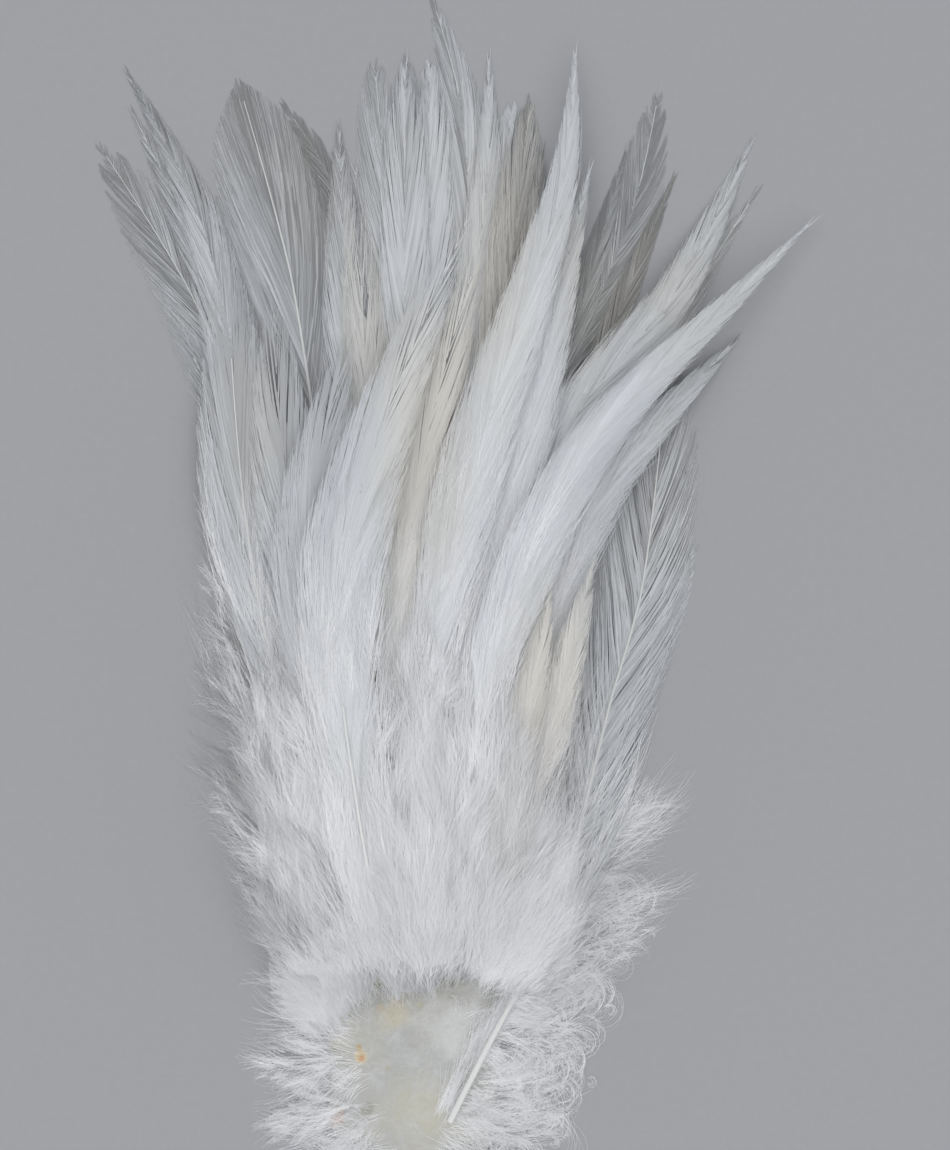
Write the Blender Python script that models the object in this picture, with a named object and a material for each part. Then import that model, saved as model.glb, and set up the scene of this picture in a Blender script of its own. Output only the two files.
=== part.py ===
# Feather bunch: white hackle feathers growing from a small patch of dried skin, lying on its underside.
# Metres, +Z up. +Y runs from the skin patch to the feather tips and +X across the bunch.
# The origin is on the flat underside of the skin patch. Lengths in the lists below are in millimetres.

import math
from collections import namedtuple

import bmesh
import bpy
import numpy as np

MM = 0.001

# Skin patch: an outline that runs anticlockwise from its near right corner
SKIN_OUTLINE = [
    (9.5, -16.2), (12.6, -12.5), (13.2, -7.0), (14.2, 0.0), (14.8, 8.0), (15.8, 17.0), (16.4, 27.0),
    (17.2, 38.0), (17.4, 48.0), (15.6, 56.0), (10.6, 61.2), (4.0, 63.0), (-3.0, 63.2), (-9.6, 61.4),
    (-14.6, 56.6), (-16.6, 48.0), (-16.2, 37.0), (-15.4, 26.0), (-14.6, 16.0), (-13.6, 8.0),
    (-12.8, 1.0), (-13.4, -5.0), (-12.2, -11.0), (-9.2, -15.4), (-4.0, -16.9), (2.8, -16.6),
]
SKIN_CENTRE = (0.5, 22.0)
SKIN_EDGE = 0.55
SKIN_MIDDLE = 1.35
SKIN_RINGS = (1.0, 0.86, 0.64, 0.36)
SKIN_BUMP = 0.12

# Material slots
WHITE = "feather_white"
CREAM = "feather_cream"
DOWN = "down_white"

# Quill and rachis: the quill at the root, its height there and at the tip, and the bare length
QUILL_RADIUS = 0.55
QUILL_HEIGHT = 0.95
RACHIS_TIP = 0.28
BARE_QUILL = 3.0

# Vane and down: the distance over which the barbs reach full length, and the section's heights
HACKLE_OPENS = 11.0
BODY_OPENS = 5.0
PLUME_OPENS = 6.0
VANE_EDGE = 0.14
DOWN_PUFF = 0.14
SHOULDER = 0.5
TIP_HALF_WIDTH = 0.35

# The ground that each feather lies on: its cells, its extent and the gap that is kept to it
GAP = 0.3
CELL = 0.4
REACH = 80.0
FAR_END = 185.0
NEAR_END = -30.0

# How a feather bends over what is below it: stiff along its vane, soft near its root
STIFF_RADIUS = 160.0
ROOT_RADIUS = 3.5
ROOT_LENGTH = 50.0
MOST_ROLL = 0.42
ROLL_SMOOTHING = 14.0
MOST_TWIST = 0.55

FEATHER_STATIONS = (0, 0.02, 0.05, 0.1, 0.17, 0.26, 0.37, 0.5, 0.62, 0.74, 0.84, 0.92, 0.97, 1)
PLUME_STATIONS = (0, 0.07, 0.16, 0.3, 0.46, 0.62, 0.78, 0.91, 1)

# Each feather: its name, its rachis from root to tip, the half-width of its vane and of its down,
# where along it the vane is widest, how blunt its tip is, its material slot and its bare quill's length
Feather = namedtuple("Feather", "name spine vane down widest blunt slot bare")


def hackle(name, spine, vane, down=5.5, widest=0.5, blunt=2.0, slot=WHITE, bare=BARE_QUILL):
    return Feather("feather_" + name, spine, vane, down, widest, blunt, slot, bare)


def body(name, spine, vane, blunt=1.8):
    return Feather("body_" + name, spine, vane, 8.0, 0.5, blunt, WHITE, 0.5)


def plume(name, spine, down):
    return Feather("down_" + name, spine, down, down, 0.55, 2.6, DOWN, 0.0)


# From the surface up: what comes later lies over what came before
FEATHERS = [
    plume("right_near", [(9, -7), (17, -8), (24.5, -6.5)], 5.6),
    plume("right_low", [(11, -1), (20, 0), (27.5, 3.5)], 5.8),
    plume("right_middle", [(12.6, 6), (22, 9.5), (30.5, 15)], 5.8),
    plume("right_upper", [(13.6, 13), (26, 20.5), (38.5, 29.5)], 6.2),
    plume("right_high", [(14.5, 21), (26, 34), (41.5, 44.5)], 7.4),
    plume("end_left", [(-6, -12), (-13, -15.5), (-20.5, -16)], 5.4),
    plume("end_right", [(6, -12.5), (13, -16), (20, -16)], 5.4),
    plume("left_near", [(-10, -5), (-17, -7), (-22.5, -8)], 5.2),
    plume("left_low", [(-11, 3), (-18, 2.5), (-25, 2.5)], 5.6),
    plume("left_middle", [(-11.5, 10), (-17.5, 13), (-23.5, 16.5)], 5.2),
    plume("left_upper", [(-12.5, 16), (-18.5, 24), (-25.5, 34)], 5.8),
    plume("left_high", [(-13.5, 24), (-21, 36.5), (-32.5, 48.5)], 5.0),
    plume("left_long", [(-14, 34), (-22, 52), (-33, 72)], 7.2),
    plume("left_far", [(-14.5, 44), (-24, 66), (-33.5, 86)], 6.0),
    hackle("right_low", [(15.5, 32), (26, 46), (35, 62), (40, 72), (46.5, 86)], 4.4, 5, 0.5, 2.4),
    hackle(
        "right_broad",
        [(6.3, -7.5), (13, 6), (18.5, 16.5), (25.6, 35), (32.4, 61), (37.3, 78), (41, 108), (42.4, 118)],
        7.4, 7.5, 0.66, 4.0, bare=20.0,
    ),
    hackle("back_tallest", [(3.5, 60), (7.5, 105), (9.2, 145), (7.5, 160), (2.9, 176)], 4.9, 5, 0.6, 2.3),
    hackle("right_open", [(10, 58), (20, 95), (29.5, 123), (36.8, 143), (40.4, 160.5)], 4.8, 5.5, 0.62, 3.6),
    hackle("left_broad", [(-6, 60), (-14, 95), (-19.2, 128.6), (-28, 161)], 9.2, 6.5, 0.7, 3.6),
    hackle("back_sparse", [(-1, 58), (-6, 105), (-12.6, 144), (-22.1, 159)], 4.4, 5.5, 0.6, 2.0),
    hackle("left_outer", [(-12, 56), (-24.5, 98), (-35.4, 126.2), (-51.3, 151.6)], 5.7, 6, 0.68, 3.0),
    hackle("right_warm", [(14.5, 53), (24, 92), (34, 124), (43.4, 147)], 2.8, 5, 0.6, 1.8, CREAM),
    hackle("right_shade", [(7, 54), (15.5, 90), (26.8, 122), (35.4, 151)], 3.0, 5, 0.6, 2.0),
    hackle("centre_round", [(-3, 54), (-3.2, 105), (-4, 140), (-6, 165.3)], 4.5, 5.5, 0.72, 4.2),
    hackle("left_inner", [(-9.5, 52), (-21, 93), (-33, 130), (-46.2, 158)], 3.6, 5.5, 0.6, 1.8),
    hackle("centre_right", [(3, 51), (3.2, 105), (3, 165.5)], 4.2, 5.5, 0.68, 4.0),
    hackle("left_fringe", [(-14.5, 48), (-23, 84), (-30.6, 107), (-45, 133.5)], 3.9, 6, 0.6, 1.8),
    hackle("right_thin", [(15, 46), (28, 92), (44, 123.5), (56.7, 144)], 3.2, 5, 0.55, 1.8),
    hackle("centre_far_left", [(-6, 48), (-9.5, 105), (-11.7, 155)], 4.2, 5.5, 0.6, 2.0),
    hackle("centre_tall", [(-0.5, 47), (-1, 105), (-0.8, 165.7)], 4.2, 5.5, 0.68, 4.0),
    hackle("centre_blunt", [(6.5, 47), (10.5, 105), (16.6, 158.3)], 4.2, 5.5, 0.7, 4.6),
    hackle("left_spear", [(-11.5, 44), (-23.5, 92), (-34.6, 140.4), (-47.2, 164.2)], 4.6, 5.5, 0.6, 1.4),
    hackle("right_third", [(12, 42), (24, 82), (38, 113), (50.2, 135)], 3.2, 5, 0.5, 1.7),
    hackle("centre_left", [(-4, 41), (-6.5, 100), (-9.3, 152)], 4.2, 5.5, 0.6, 1.9, CREAM),
    hackle("centre_bright", [(3, 41), (7, 100), (12.6, 147), (12.6, 167)], 4.6, 5.5, 0.5, 1.8),
    hackle("left_shaft", [(-14, 38), (-24, 75), (-28, 105), (-30, 138)], 7.2, 6.5, 0.55, 1.7),
    hackle("centre_cream", [(8, 38), (13, 100), (19.4, 158.8)], 4.2, 5.5, 0.66, 4.6, CREAM),
    hackle("right_short", [(14.5, 37), (22, 72), (32.2, 96), (53.7, 119.8)], 4.2, 5.5, 0.5, 1.8),
    hackle("left_narrow", [(-9, 37), (-17, 80), (-21, 106), (-22, 131)], 6.2, 6, 0.55, 1.6),
    hackle("centre_edge", [(11.5, 34), (15.5, 95), (21.5, 151.5)], 3.2, 5.5, 0.6, 2.2, CREAM),
    hackle(
        "right_second",
        [(5.5, 33), (13, 75), (28, 108.5), (41.2, 124), (51.6, 143.5), (56, 152.9)],
        4.2, 5.5, 0.5, 2.4,
    ),
    hackle("cream_right", [(14, 30), (20.5, 50), (25.5, 68), (29.6, 84)], 3.6, 5, 0.5, 1.8, CREAM),
    hackle("cream_left", [(11, 28), (15.5, 46), (19, 62), (22.6, 80)], 3.6, 5, 0.5, 1.8, CREAM),
    hackle("middle", [(-0.5, 34), (-2.5, 72), (3, 104), (12, 137)], 6.4, 6, 0.5, 1.6, CREAM),
    hackle("front_shade", [(-8, 31), (-14.5, 62), (-15.5, 92), (-9, 122)], 7.0, 6.5, 0.5, 1.6),
    hackle("front_band", [(3, 29), (8, 62), (17, 98), (29.3, 148.1)], 5.8, 6, 0.45, 1.6),
    body("left_far", [(-12.5, 27), (-18, 48), (-22, 68)], 7.2),
    hackle("front_tall", [(0.5, 25), (5, 78), (17.5, 121), (24.7, 145), (26.6, 167.2)], 5.8, 6, 0.42, 1.6),
    hackle("front_right", [(7.5, 23), (13, 66), (28.5, 101), (50, 123.3), (66, 139)], 5.0, 6, 0.45, 1.3),
    body("right_far", [(12.5, 21), (18.5, 42), (24, 62)], 6.6),
    body("left", [(-6.5, 22), (-12.5, 42), (-16, 66)], 7.4),
    body("middle", [(1.5, 18), (2.5, 44), (1.5, 76)], 7.4),
    body("right", [(7, 16.5), (11.5, 40), (14, 70)], 7.2),
    body("left_near", [(-10.5, 16), (-15.5, 28), (-20, 42)], 7.4, 2.0),
    body("right_near", [(11.5, 13.5), (17, 25), (24, 39)], 7.4, 2.0),
    hackle("front_left", [(-2, 12.5), (-9, 50), (-10.5, 84), (11, 142)], 7.4, 6.5, 0.5, 1.4),
    body("front", [(3.5, 13.5), (3, 28), (1, 46)], 7.2, 2.0),
]

COLOURS = {
    WHITE: ((0.78, 0.80, 0.82, 1), 0.45),
    CREAM: ((0.76, 0.74, 0.68, 1), 0.5),
    DOWN: ((0.82, 0.83, 0.85, 1), 0.8),
    "skin": ((0.72, 0.68, 0.56, 1), 0.65),
}


def clear_objects():
    for thing in list(bpy.data.objects):
        bpy.data.objects.remove(thing, do_unlink=True)


def material(slot):
    made = bpy.data.materials.get(slot)
    if made:
        return made
    colour, rough = COLOURS[slot]
    made = bpy.data.materials.new(slot)
    made.use_nodes = True
    shader = made.node_tree.nodes["Principled BSDF"]
    shader.inputs["Base Color"].default_value = colour
    shader.inputs["Roughness"].default_value = rough
    shader.inputs["Metallic"].default_value = 0
    made.diffuse_color = colour
    return made


def add_object(name, bm, slot, collection):
    bmesh.ops.recalc_face_normals(bm, faces=bm.faces)
    mesh = bpy.data.meshes.new(name)
    bm.to_mesh(mesh)
    bm.free()
    thing = bpy.data.objects.new(name, mesh)
    thing.data.materials.append(material(slot))
    collection.objects.link(thing)
    return thing


def ease(x):
    x = min(max(x, 0.0), 1.0)
    return x * x * (3 - 2 * x)


def skin_height(x, y, ring):
    """Height of the skin's top, thick in the middle, thin and slightly uneven towards its edge."""
    rise = SKIN_EDGE + (SKIN_MIDDLE - SKIN_EDGE) * (1 - ring**2)
    return rise + SKIN_BUMP * math.sin(0.55 * x + 0.3) * math.cos(0.42 * y) * (1.2 - ring)


def skin_points(ring):
    cx, cy = SKIN_CENTRE
    return [(cx + (x - cx) * ring, cy + (y - cy) * ring) for x, y in SKIN_OUTLINE]


def make_skin(collection):
    bm = bmesh.new()
    base = [bm.verts.new((x * MM, y * MM, 0)) for x, y in SKIN_OUTLINE]
    bm.faces.new(base)
    below = base
    count = len(base)
    for ring in SKIN_RINGS:
        above = [bm.verts.new((x * MM, y * MM, skin_height(x, y, ring) * MM)) for x, y in skin_points(ring)]
        for i in range(count):
            j = (i + 1) % count
            bm.faces.new((below[i], below[j], above[j], above[i]))
        below = above
    cx, cy = SKIN_CENTRE
    top = bm.verts.new((cx * MM, cy * MM, skin_height(cx, cy, 0) * MM))
    for i in range(count):
        bm.faces.new((below[i], below[(i + 1) % count], top))
    bmesh.ops.triangulate(bm, faces=bm.faces)
    return add_object("skin_patch", bm, "skin", collection)


def smooth_path(points):
    """A dense Catmull-Rom curve through the hand-chosen points, with its arc length."""
    p = np.array(points, float)
    p = np.vstack([2 * p[0] - p[1], p, 2 * p[-1] - p[-2]])
    dense = []
    for i in range(1, len(p) - 2):
        knots = [0.0]
        for k in range(3):
            knots.append(knots[-1] + math.sqrt(np.linalg.norm(p[i + k] - p[i + k - 1])))
        for t in np.linspace(knots[1], knots[2], 24, endpoint=False):
            row = list(p[i - 1 : i + 3])
            for order in range(1, 4):
                spans = [knots[k + order] - knots[k] for k in range(len(row) - 1)]
                row = [
                    ((knots[k + order] - t) * row[k] + (t - knots[k]) * row[k + 1]) / span
                    for k, span in enumerate(spans)
                ]
            dense.append(row[0])
    dense.append(p[-2])
    dense = np.array(dense)
    arc = np.concatenate([[0], np.cumsum(np.linalg.norm(np.diff(dense, axis=0), axis=1))])
    return dense, arc


def is_plume(feather):
    return feather.slot == DOWN


def opened(feather, s):
    """0 on the bare quill, 1 where the barbs have their full length."""
    if is_plume(feather):
        distance = PLUME_OPENS
    elif feather.name.startswith("body_"):
        distance = BODY_OPENS
    else:
        distance = HACKLE_OPENS
    return ease((s - feather.bare) / distance)


def half_width(feather, s, length):
    """Half the feather's width at distance s from its root: bare quill, down, then vane."""
    t = s / length
    past = max(0.0, (t - feather.widest) / (1 - feather.widest))
    vane = feather.vane * (1 - past**feather.blunt)
    fluff = feather.down * (1 - ease((t - 0.22) / 0.25))
    width = vane + max(0.0, fluff - vane) * (1 - ease((t - 0.2) / 0.3))
    if is_plume(feather):
        width = vane
    return max(QUILL_RADIUS + (width - QUILL_RADIUS) * opened(feather, s), TIP_HALF_WIDTH)


def section(feather, s, length):
    """Cross-section heights at distance s: ridge over the rachis, shoulder and edge."""
    t = s / length
    ridge = RACHIS_TIP + (QUILL_HEIGHT - RACHIS_TIP) * (1 - t) ** 1.2
    quill = 1 - opened(feather, s)
    puff = DOWN_PUFF * (1 - ease((t - 0.25) / 0.25))
    edge = quill * ridge * 0.45 + (1 - quill) * VANE_EDGE
    shoulder = quill * ridge * 0.9 + (1 - quill) * min(ridge * 0.8, VANE_EDGE * 1.6 + puff)
    return ridge, shoulder, edge


class Ground:
    """The height that the next feather's underside must clear, on a grid of square cells."""

    def __init__(self):
        columns = int(2 * REACH / CELL)
        rows = int((FAR_END - NEAR_END) / CELL)
        self.height = np.zeros((rows, columns))

    def cells(self, x, y):
        col = np.clip(((x + REACH) / CELL).astype(int), 1, self.height.shape[1] - 2)
        row = np.clip(((y - NEAR_END) / CELL).astype(int), 1, self.height.shape[0] - 2)
        return row, col

    def at(self, x, y):
        return self.height[self.cells(x, y)]

    def cover(self, mesh):
        """Raises the ground to the top of a mesh, one cell beyond it on every side."""
        mesh.calc_loop_triangles()
        for tri in mesh.loop_triangles:
            a, b, c = (np.array(mesh.vertices[v].co) / MM for v in tri.vertices)
            longest = max(np.linalg.norm(a - b), np.linalg.norm(b - c), np.linalg.norm(c - a))
            steps = max(2, int(longest / (CELL * 0.7)) + 1)
            i, j = np.meshgrid(np.arange(steps + 1), np.arange(steps + 1))
            keep = i + j <= steps
            u, v = i[keep] / steps, j[keep] / steps
            points = a + np.outer(u, b - a) + np.outer(v, c - a)
            row, col = self.cells(points[:, 0], points[:, 1])
            for dr in (-1, 0, 1):
                for dc in (-1, 0, 1):
                    np.maximum.at(self.height, (row + dr, col + dc), points[:, 2] + GAP)


def lie_over(feather, ground, path, arc, stations):
    """Rest heights and rolls at the stations, so that the feather lies over all that is below it."""
    length = arc[-1]
    fine = np.linspace(0, length, int(length) + 1)
    x = np.interp(fine, arc, path[:, 0])
    y = np.interp(fine, arc, path[:, 1])
    ahead = np.gradient(np.column_stack([x, y]), axis=0)
    ahead /= np.linalg.norm(ahead, axis=1)[:, None]
    right = np.column_stack([ahead[:, 1], -ahead[:, 0]])
    width = np.interp(fine, stations, [half_width(feather, s, length) for s in stations]) + CELL
    across = np.linspace(-1, 1, 29)
    u = width[:, None] * across[None, :]
    under = ground.at(x[:, None] + right[:, :1] * u, y[:, None] + right[:, 1:] * u)
    roll = (under * u).sum(axis=1) / (u * u).sum(axis=1)
    roll = np.clip(roll, -MOST_ROLL, MOST_ROLL)
    weights = np.exp(-(((fine[:, None] - fine[None, :]) / ROLL_SMOOTHING) ** 2))
    roll = weights @ roll / weights.sum(axis=1)
    roll *= np.array([ease((s - feather.bare) / ROOT_LENGTH) for s in fine])
    rolls = np.interp(stations, fine, roll)
    for order in (range(1, len(rolls)), range(len(rolls) - 2, -1, -1)):
        for k in order:
            beside = rolls[k - 1] if order.step > 0 else rolls[k + 1]
            most = MOST_TWIST / half_width(feather, stations[k], length)
            rolls[k] = min(max(rolls[k], beside - most), beside + most)
    roll = np.interp(fine, stations, rolls)
    least = (under - roll[:, None] * u).max(axis=1)
    radius = ROOT_RADIUS + (STIFF_RADIUS - ROOT_RADIUS) * np.clip(fine / ROOT_LENGTH, 0, 1) ** 3
    sag = (fine[:, None] - fine[None, :]) ** 2 / (2 * radius[:, None])
    rest = (least[None, :] - sag).max(axis=1)
    height = np.interp(stations, fine, rest)
    for _ in range(12):
        short = least - np.interp(fine, stations, height)
        for k in range(len(stations) - 1):
            inside = (fine >= stations[k]) & (fine <= stations[k + 1])
            lack = max(0.0, short[inside].max()) if inside.any() else 0.0
            height[k] += lack
            height[k + 1] += lack
    return height, rolls


def join_rings(bm, low, high, twist):
    """Triangles between two rings, split so that a twist makes the thin vane thicker and never thinner."""
    for i in range(6):
        j = (i + 1) % 6
        left = i in (0, 1, 5)
        outer_first = i in (0, 1, 4)
        if (left == (twist <= 0)) == outer_first:
            bm.faces.new((low[i], low[j], high[j]))
            bm.faces.new((low[i], high[j], high[i]))
        else:
            bm.faces.new((low[i], low[j], high[i]))
            bm.faces.new((low[j], high[j], high[i]))


def make_feather(feather, ground, collection):
    path, arc = smooth_path(feather.spine)
    length = arc[-1]
    shares = PLUME_STATIONS if is_plume(feather) else FEATHER_STATIONS
    stations = np.array(shares) * length
    height, roll = lie_over(feather, ground, path, arc, stations)
    bm = bmesh.new()
    rings = []
    for s, base, tilt in zip(stations, height, roll):
        x, y = np.interp(s, arc, path[:, 0]), np.interp(s, arc, path[:, 1])
        near, far = max(s - 1.5, 0), min(s + 1.5, length)
        dx = np.interp(far, arc, path[:, 0]) - np.interp(near, arc, path[:, 0])
        dy = np.interp(far, arc, path[:, 1]) - np.interp(near, arc, path[:, 1])
        run = math.hypot(dx, dy)
        width = half_width(feather, s, length)
        ridge, shoulder, edge = section(feather, s, length)
        profile = [
            (-width, edge), (-width * SHOULDER, shoulder), (0, ridge),
            (width * SHOULDER, shoulder), (width, edge), (0, 0),
        ]
        ring = [
            bm.verts.new(((x + dy / run * u) * MM, (y - dx / run * u) * MM, (base + tilt * u + z) * MM))
            for u, z in profile
        ]
        rings.append(ring)
    for low, high, twist in zip(rings, rings[1:], np.diff(roll)):
        join_rings(bm, low, high, twist)
    bm.faces.new(rings[0])
    bm.faces.new(rings[-1])
    bmesh.ops.triangulate(bm, faces=bm.faces)
    return add_object(feather.name, bm, feather.slot, collection)


def main():
    clear_objects()
    bunch = bpy.data.collections.new("feather_bunch")
    bpy.context.scene.collection.children.link(bunch)
    ground = Ground()
    ground.cover(make_skin(bunch).data)
    for feather in FEATHERS:
        ground.cover(make_feather(feather, ground, bunch).data)


main()
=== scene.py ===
# %% [markdown]
# # A bunch of white hackle feathers on a skin patch
# The real thing is a bunch of long, narrow, white feathers that still grow from a scrap of dried skin.
# It lies flat. Its upper half is silky: the barbs hold together in smooth blades and fine locks.
# Its lower half is fluffy: the barbs there are soft, loose down.
# The CAD model gives every feather one thin solid. This script dresses each solid with real barbs.

# %% The frame
import math
from collections import namedtuple

import bpy
import numpy as np
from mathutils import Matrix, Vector, noise
from mathutils.bvhtree import BVHTree


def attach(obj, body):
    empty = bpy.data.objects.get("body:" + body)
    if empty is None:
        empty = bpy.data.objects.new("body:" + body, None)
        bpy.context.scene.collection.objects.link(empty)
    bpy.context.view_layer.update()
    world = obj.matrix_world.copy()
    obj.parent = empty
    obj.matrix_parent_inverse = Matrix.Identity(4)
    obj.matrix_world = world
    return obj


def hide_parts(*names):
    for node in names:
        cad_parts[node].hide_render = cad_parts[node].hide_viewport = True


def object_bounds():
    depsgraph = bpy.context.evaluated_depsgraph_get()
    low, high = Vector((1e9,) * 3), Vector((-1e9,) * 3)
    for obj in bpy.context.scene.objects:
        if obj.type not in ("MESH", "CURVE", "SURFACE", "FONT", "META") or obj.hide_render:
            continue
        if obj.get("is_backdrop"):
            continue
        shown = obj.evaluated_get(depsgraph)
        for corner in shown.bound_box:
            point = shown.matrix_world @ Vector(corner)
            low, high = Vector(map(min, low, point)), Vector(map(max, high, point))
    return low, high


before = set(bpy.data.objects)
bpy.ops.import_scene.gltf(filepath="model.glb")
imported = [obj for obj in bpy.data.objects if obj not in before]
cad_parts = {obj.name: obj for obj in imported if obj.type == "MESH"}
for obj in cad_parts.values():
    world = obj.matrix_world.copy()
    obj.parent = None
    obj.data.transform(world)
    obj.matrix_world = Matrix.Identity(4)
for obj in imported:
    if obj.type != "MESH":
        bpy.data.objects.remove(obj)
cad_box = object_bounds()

MM = 0.001


def new_object(name, data):
    """An object in the scene."""
    thing = bpy.data.objects.new(name, data)
    bpy.context.scene.collection.objects.link(thing)
    return thing


print("CAD box, mm:", [[round(x / MM, 1) for x in corner] for corner in cad_box])

# %% [markdown]
# ## Camera
# The photograph looks straight down on the bunch. A long lens from about 0.7 m keeps the feathers free of
# perspective, as the photograph is. The frame covers 152 by 184 mm of the surface.

# %% Camera
FRAME_CENTRE = (10.4 * MM, 80.8 * MM)
FRAME_HEIGHT = 184 * MM
LENS = 135
SENSOR = 36
MIDDLE_HEIGHT = 8 * MM
CAMERA_HEIGHT = FRAME_HEIGHT * LENS / SENSOR + MIDDLE_HEIGHT

camera_data = bpy.data.cameras.new("camera")
camera_data.lens = LENS
camera_data.sensor_width = SENSOR
camera = new_object("camera", camera_data)
camera.location = (*FRAME_CENTRE, CAMERA_HEIGHT)
bpy.context.scene.camera = camera
print("camera height, m:", round(CAMERA_HEIGHT, 3))

# %% [markdown]
# ## Shader maths in Python
# A procedural material is a small calculation. Writing it with + and * is easier to read than a list of
# links, so a class wraps a socket and lets Python's operators add the Math nodes.

# %% A socket that can be calculated with


class Value:
    """A socket of a material. Sums and products of it become Math nodes."""

    def __init__(self, finish, socket):
        self.finish = finish
        self.socket = socket

    def math(self, operation, *terms):
        return self.finish.add("ShaderNodeMath", {"operation": operation}, dict(enumerate(terms)))

    def __add__(self, other):
        return self.math("ADD", self, other)

    def __mul__(self, other):
        return self.math("MULTIPLY", self, other)

    def __sub__(self, other):
        return self.math("SUBTRACT", self, other)

    def __rsub__(self, other):
        return self.math("SUBTRACT", other, self)

    def __pow__(self, other):
        return self.math("POWER", self, other)

    def clipped(self):
        """The value kept between 0 and 1."""
        return self.math("MINIMUM", self.math("MAXIMUM", self, 0.0), 1.0)

    def other(self, out):
        """Another output of the same node."""
        return Value(self.finish, self.socket.node.outputs[out])


class Finish:
    """One material, with one method that makes any node in it."""

    def __init__(self, name):
        self.material = bpy.data.materials.new(name)
        self.material.use_nodes = True
        self.tree = self.material.node_tree
        self.tree.nodes.clear()
        self.output = self.tree.nodes.new("ShaderNodeOutputMaterial")

    def add(self, kind, settings=None, sockets=None, out=0):
        """A node from its type, its settings, and the values or links of its sockets."""
        node = self.tree.nodes.new(kind)
        for name, setting in (settings or {}).items():
            setattr(node, name, setting)
        for key, value in (sockets or {}).items():
            if isinstance(value, Value):
                self.tree.links.new(value.socket, node.inputs[key])
            else:
                node.inputs[key].default_value = value
        return Value(self, node.outputs[out])

    def blend(self, first, second, share):
        """Two colours mixed."""
        return self.add("ShaderNodeMix", {"data_type": "RGBA"}, {0: share, 6: first, 7: second}, out=2)

    def vector(self, operation, first, second, out=0):
        """One step of vector maths."""
        return self.add("ShaderNodeVectorMath", {"operation": operation}, {0: first, 1: second}, out)

    def place(self):
        """Where a point lies on the piece, in metres."""
        return self.add("ShaderNodeTexCoord").other("Object")

    def cloud(self, scale, detail, roughness=0.5):
        """Soft noise from 0 to 1, with scale in repeats per metre."""
        sockets = {"Vector": self.place(), "Scale": scale, "Detail": detail, "Roughness": roughness}
        return self.add("ShaderNodeTexNoise", {}, sockets)

    def show(self, shader):
        self.tree.links.new(shader.socket, self.output.inputs["Surface"])
        return self.material


def linear(channel):
    """A channel as it looks on screen, from 0 to 255, turned into the linear value of a shader."""
    return ((channel / 255 + 0.055) / 1.055) ** 2.4


def rgb(red, green, blue):
    return (linear(red), linear(green), linear(blue), 1)


print("shader helpers ready")

# %% [markdown]
# ## Floor and light
# The floor is plain and pale, but darker than the feathers, so that their white edges stay readable.
# Large, soft lights suit feathers: small lamps would turn each barb into a hard bright line.

# %% Floor
FLOOR_REACH = 3.0
floor_mesh = bpy.data.meshes.new("floor")
corners = [(x * FLOOR_REACH, y * FLOOR_REACH, 0) for x, y in ((-1, -1), (1, -1), (1, 1), (-1, 1))]
floor_mesh.from_pydata(corners, [], [(0, 1, 2, 3)])
floor = new_object("floor", floor_mesh)

paper = Finish("floor_paper")
grain = paper.cloud(900, 3)
tone = paper.blend(rgb(146, 147, 150), rgb(151, 152, 155), grain)
floor_mesh.materials.append(
    paper.show(paper.add("ShaderNodeBsdfPrincipled", {}, {"Base Color": tone, "Roughness": 0.9}))
)
floor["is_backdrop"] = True
print("floor:", FLOOR_REACH * 2, "m wide")

# %% Lights
LIGHT_SIZE = 1.1
SKY_COLOUR = (0.96, 0.975, 1.0, 1)
SKY_STRENGTH = 0.58


def soft_light(name, place, power, colour):
    """A square area light that points at the middle of the bunch."""
    lamp = bpy.data.lights.new(name, "AREA")
    lamp.shape = "SQUARE"
    lamp.size = LIGHT_SIZE
    lamp.energy = power
    lamp.color = colour
    holder = new_object(name, lamp)
    holder.location = place
    aim = Vector((*FRAME_CENTRE, 0)) - Vector(place)
    holder.rotation_euler = aim.to_track_quat("-Z", "Y").to_euler()
    print(name, power, "W")


soft_light("key_light", (-0.22, 0.3, 1.1), 5.7, (1.0, 0.99, 0.98))
soft_light("fill_light", (0.25, -0.55, 1.05), 5.9, (0.98, 0.99, 1.0))

world = bpy.data.worlds.new("studio")
world.use_nodes = True
sky = world.node_tree.nodes["Background"]
sky.inputs["Color"].default_value = SKY_COLOUR
sky.inputs["Strength"].default_value = SKY_STRENGTH
bpy.context.scene.world = world
bpy.context.scene.view_settings.view_transform = "Standard"

# %% [markdown]
# ## The feathers' lines
# These are the values that the CAD model is made from, in millimetres: each feather's rachis from root to
# tip, the half-width of its vane and of its down, where it is widest and how blunt its tip is.
# The strands must fill the same outline as the solid, so the same numbers come back here. The list runs
# from the lowest feather to the topmost. A few feathers have no clear tip, but melt into those below them.

# %% The feather list
WHITE = "feather_white"
# The cream finish is partly the feathers' own cream and partly a painted warm shade for feathers that lie
# deep.
CREAM_AND_SHADE = "feather_cream"
DOWN = "down_white"
QUILL_RADIUS = 0.55
HACKLE_OPENS = 11.0
BODY_OPENS = 5.0
PLUME_OPENS = 6.0
TIP_HALF_WIDTH = 0.35

Feather = namedtuple("Feather", "name spine vane down widest blunt slot bare")


def hackle(name, spine, vane, down, widest, blunt, slot=WHITE, bare=3.0):
    return Feather("feather_" + name, spine, vane, down, widest, blunt, slot, bare)


def body(name, spine, vane, blunt=1.8):
    return Feather("body_" + name, spine, vane, 8.0, 0.5, blunt, WHITE, 0.5)


def plume(name, spine, down):
    return Feather("down_" + name, spine, down, down, 0.55, 2.6, DOWN, 0.0)


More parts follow.
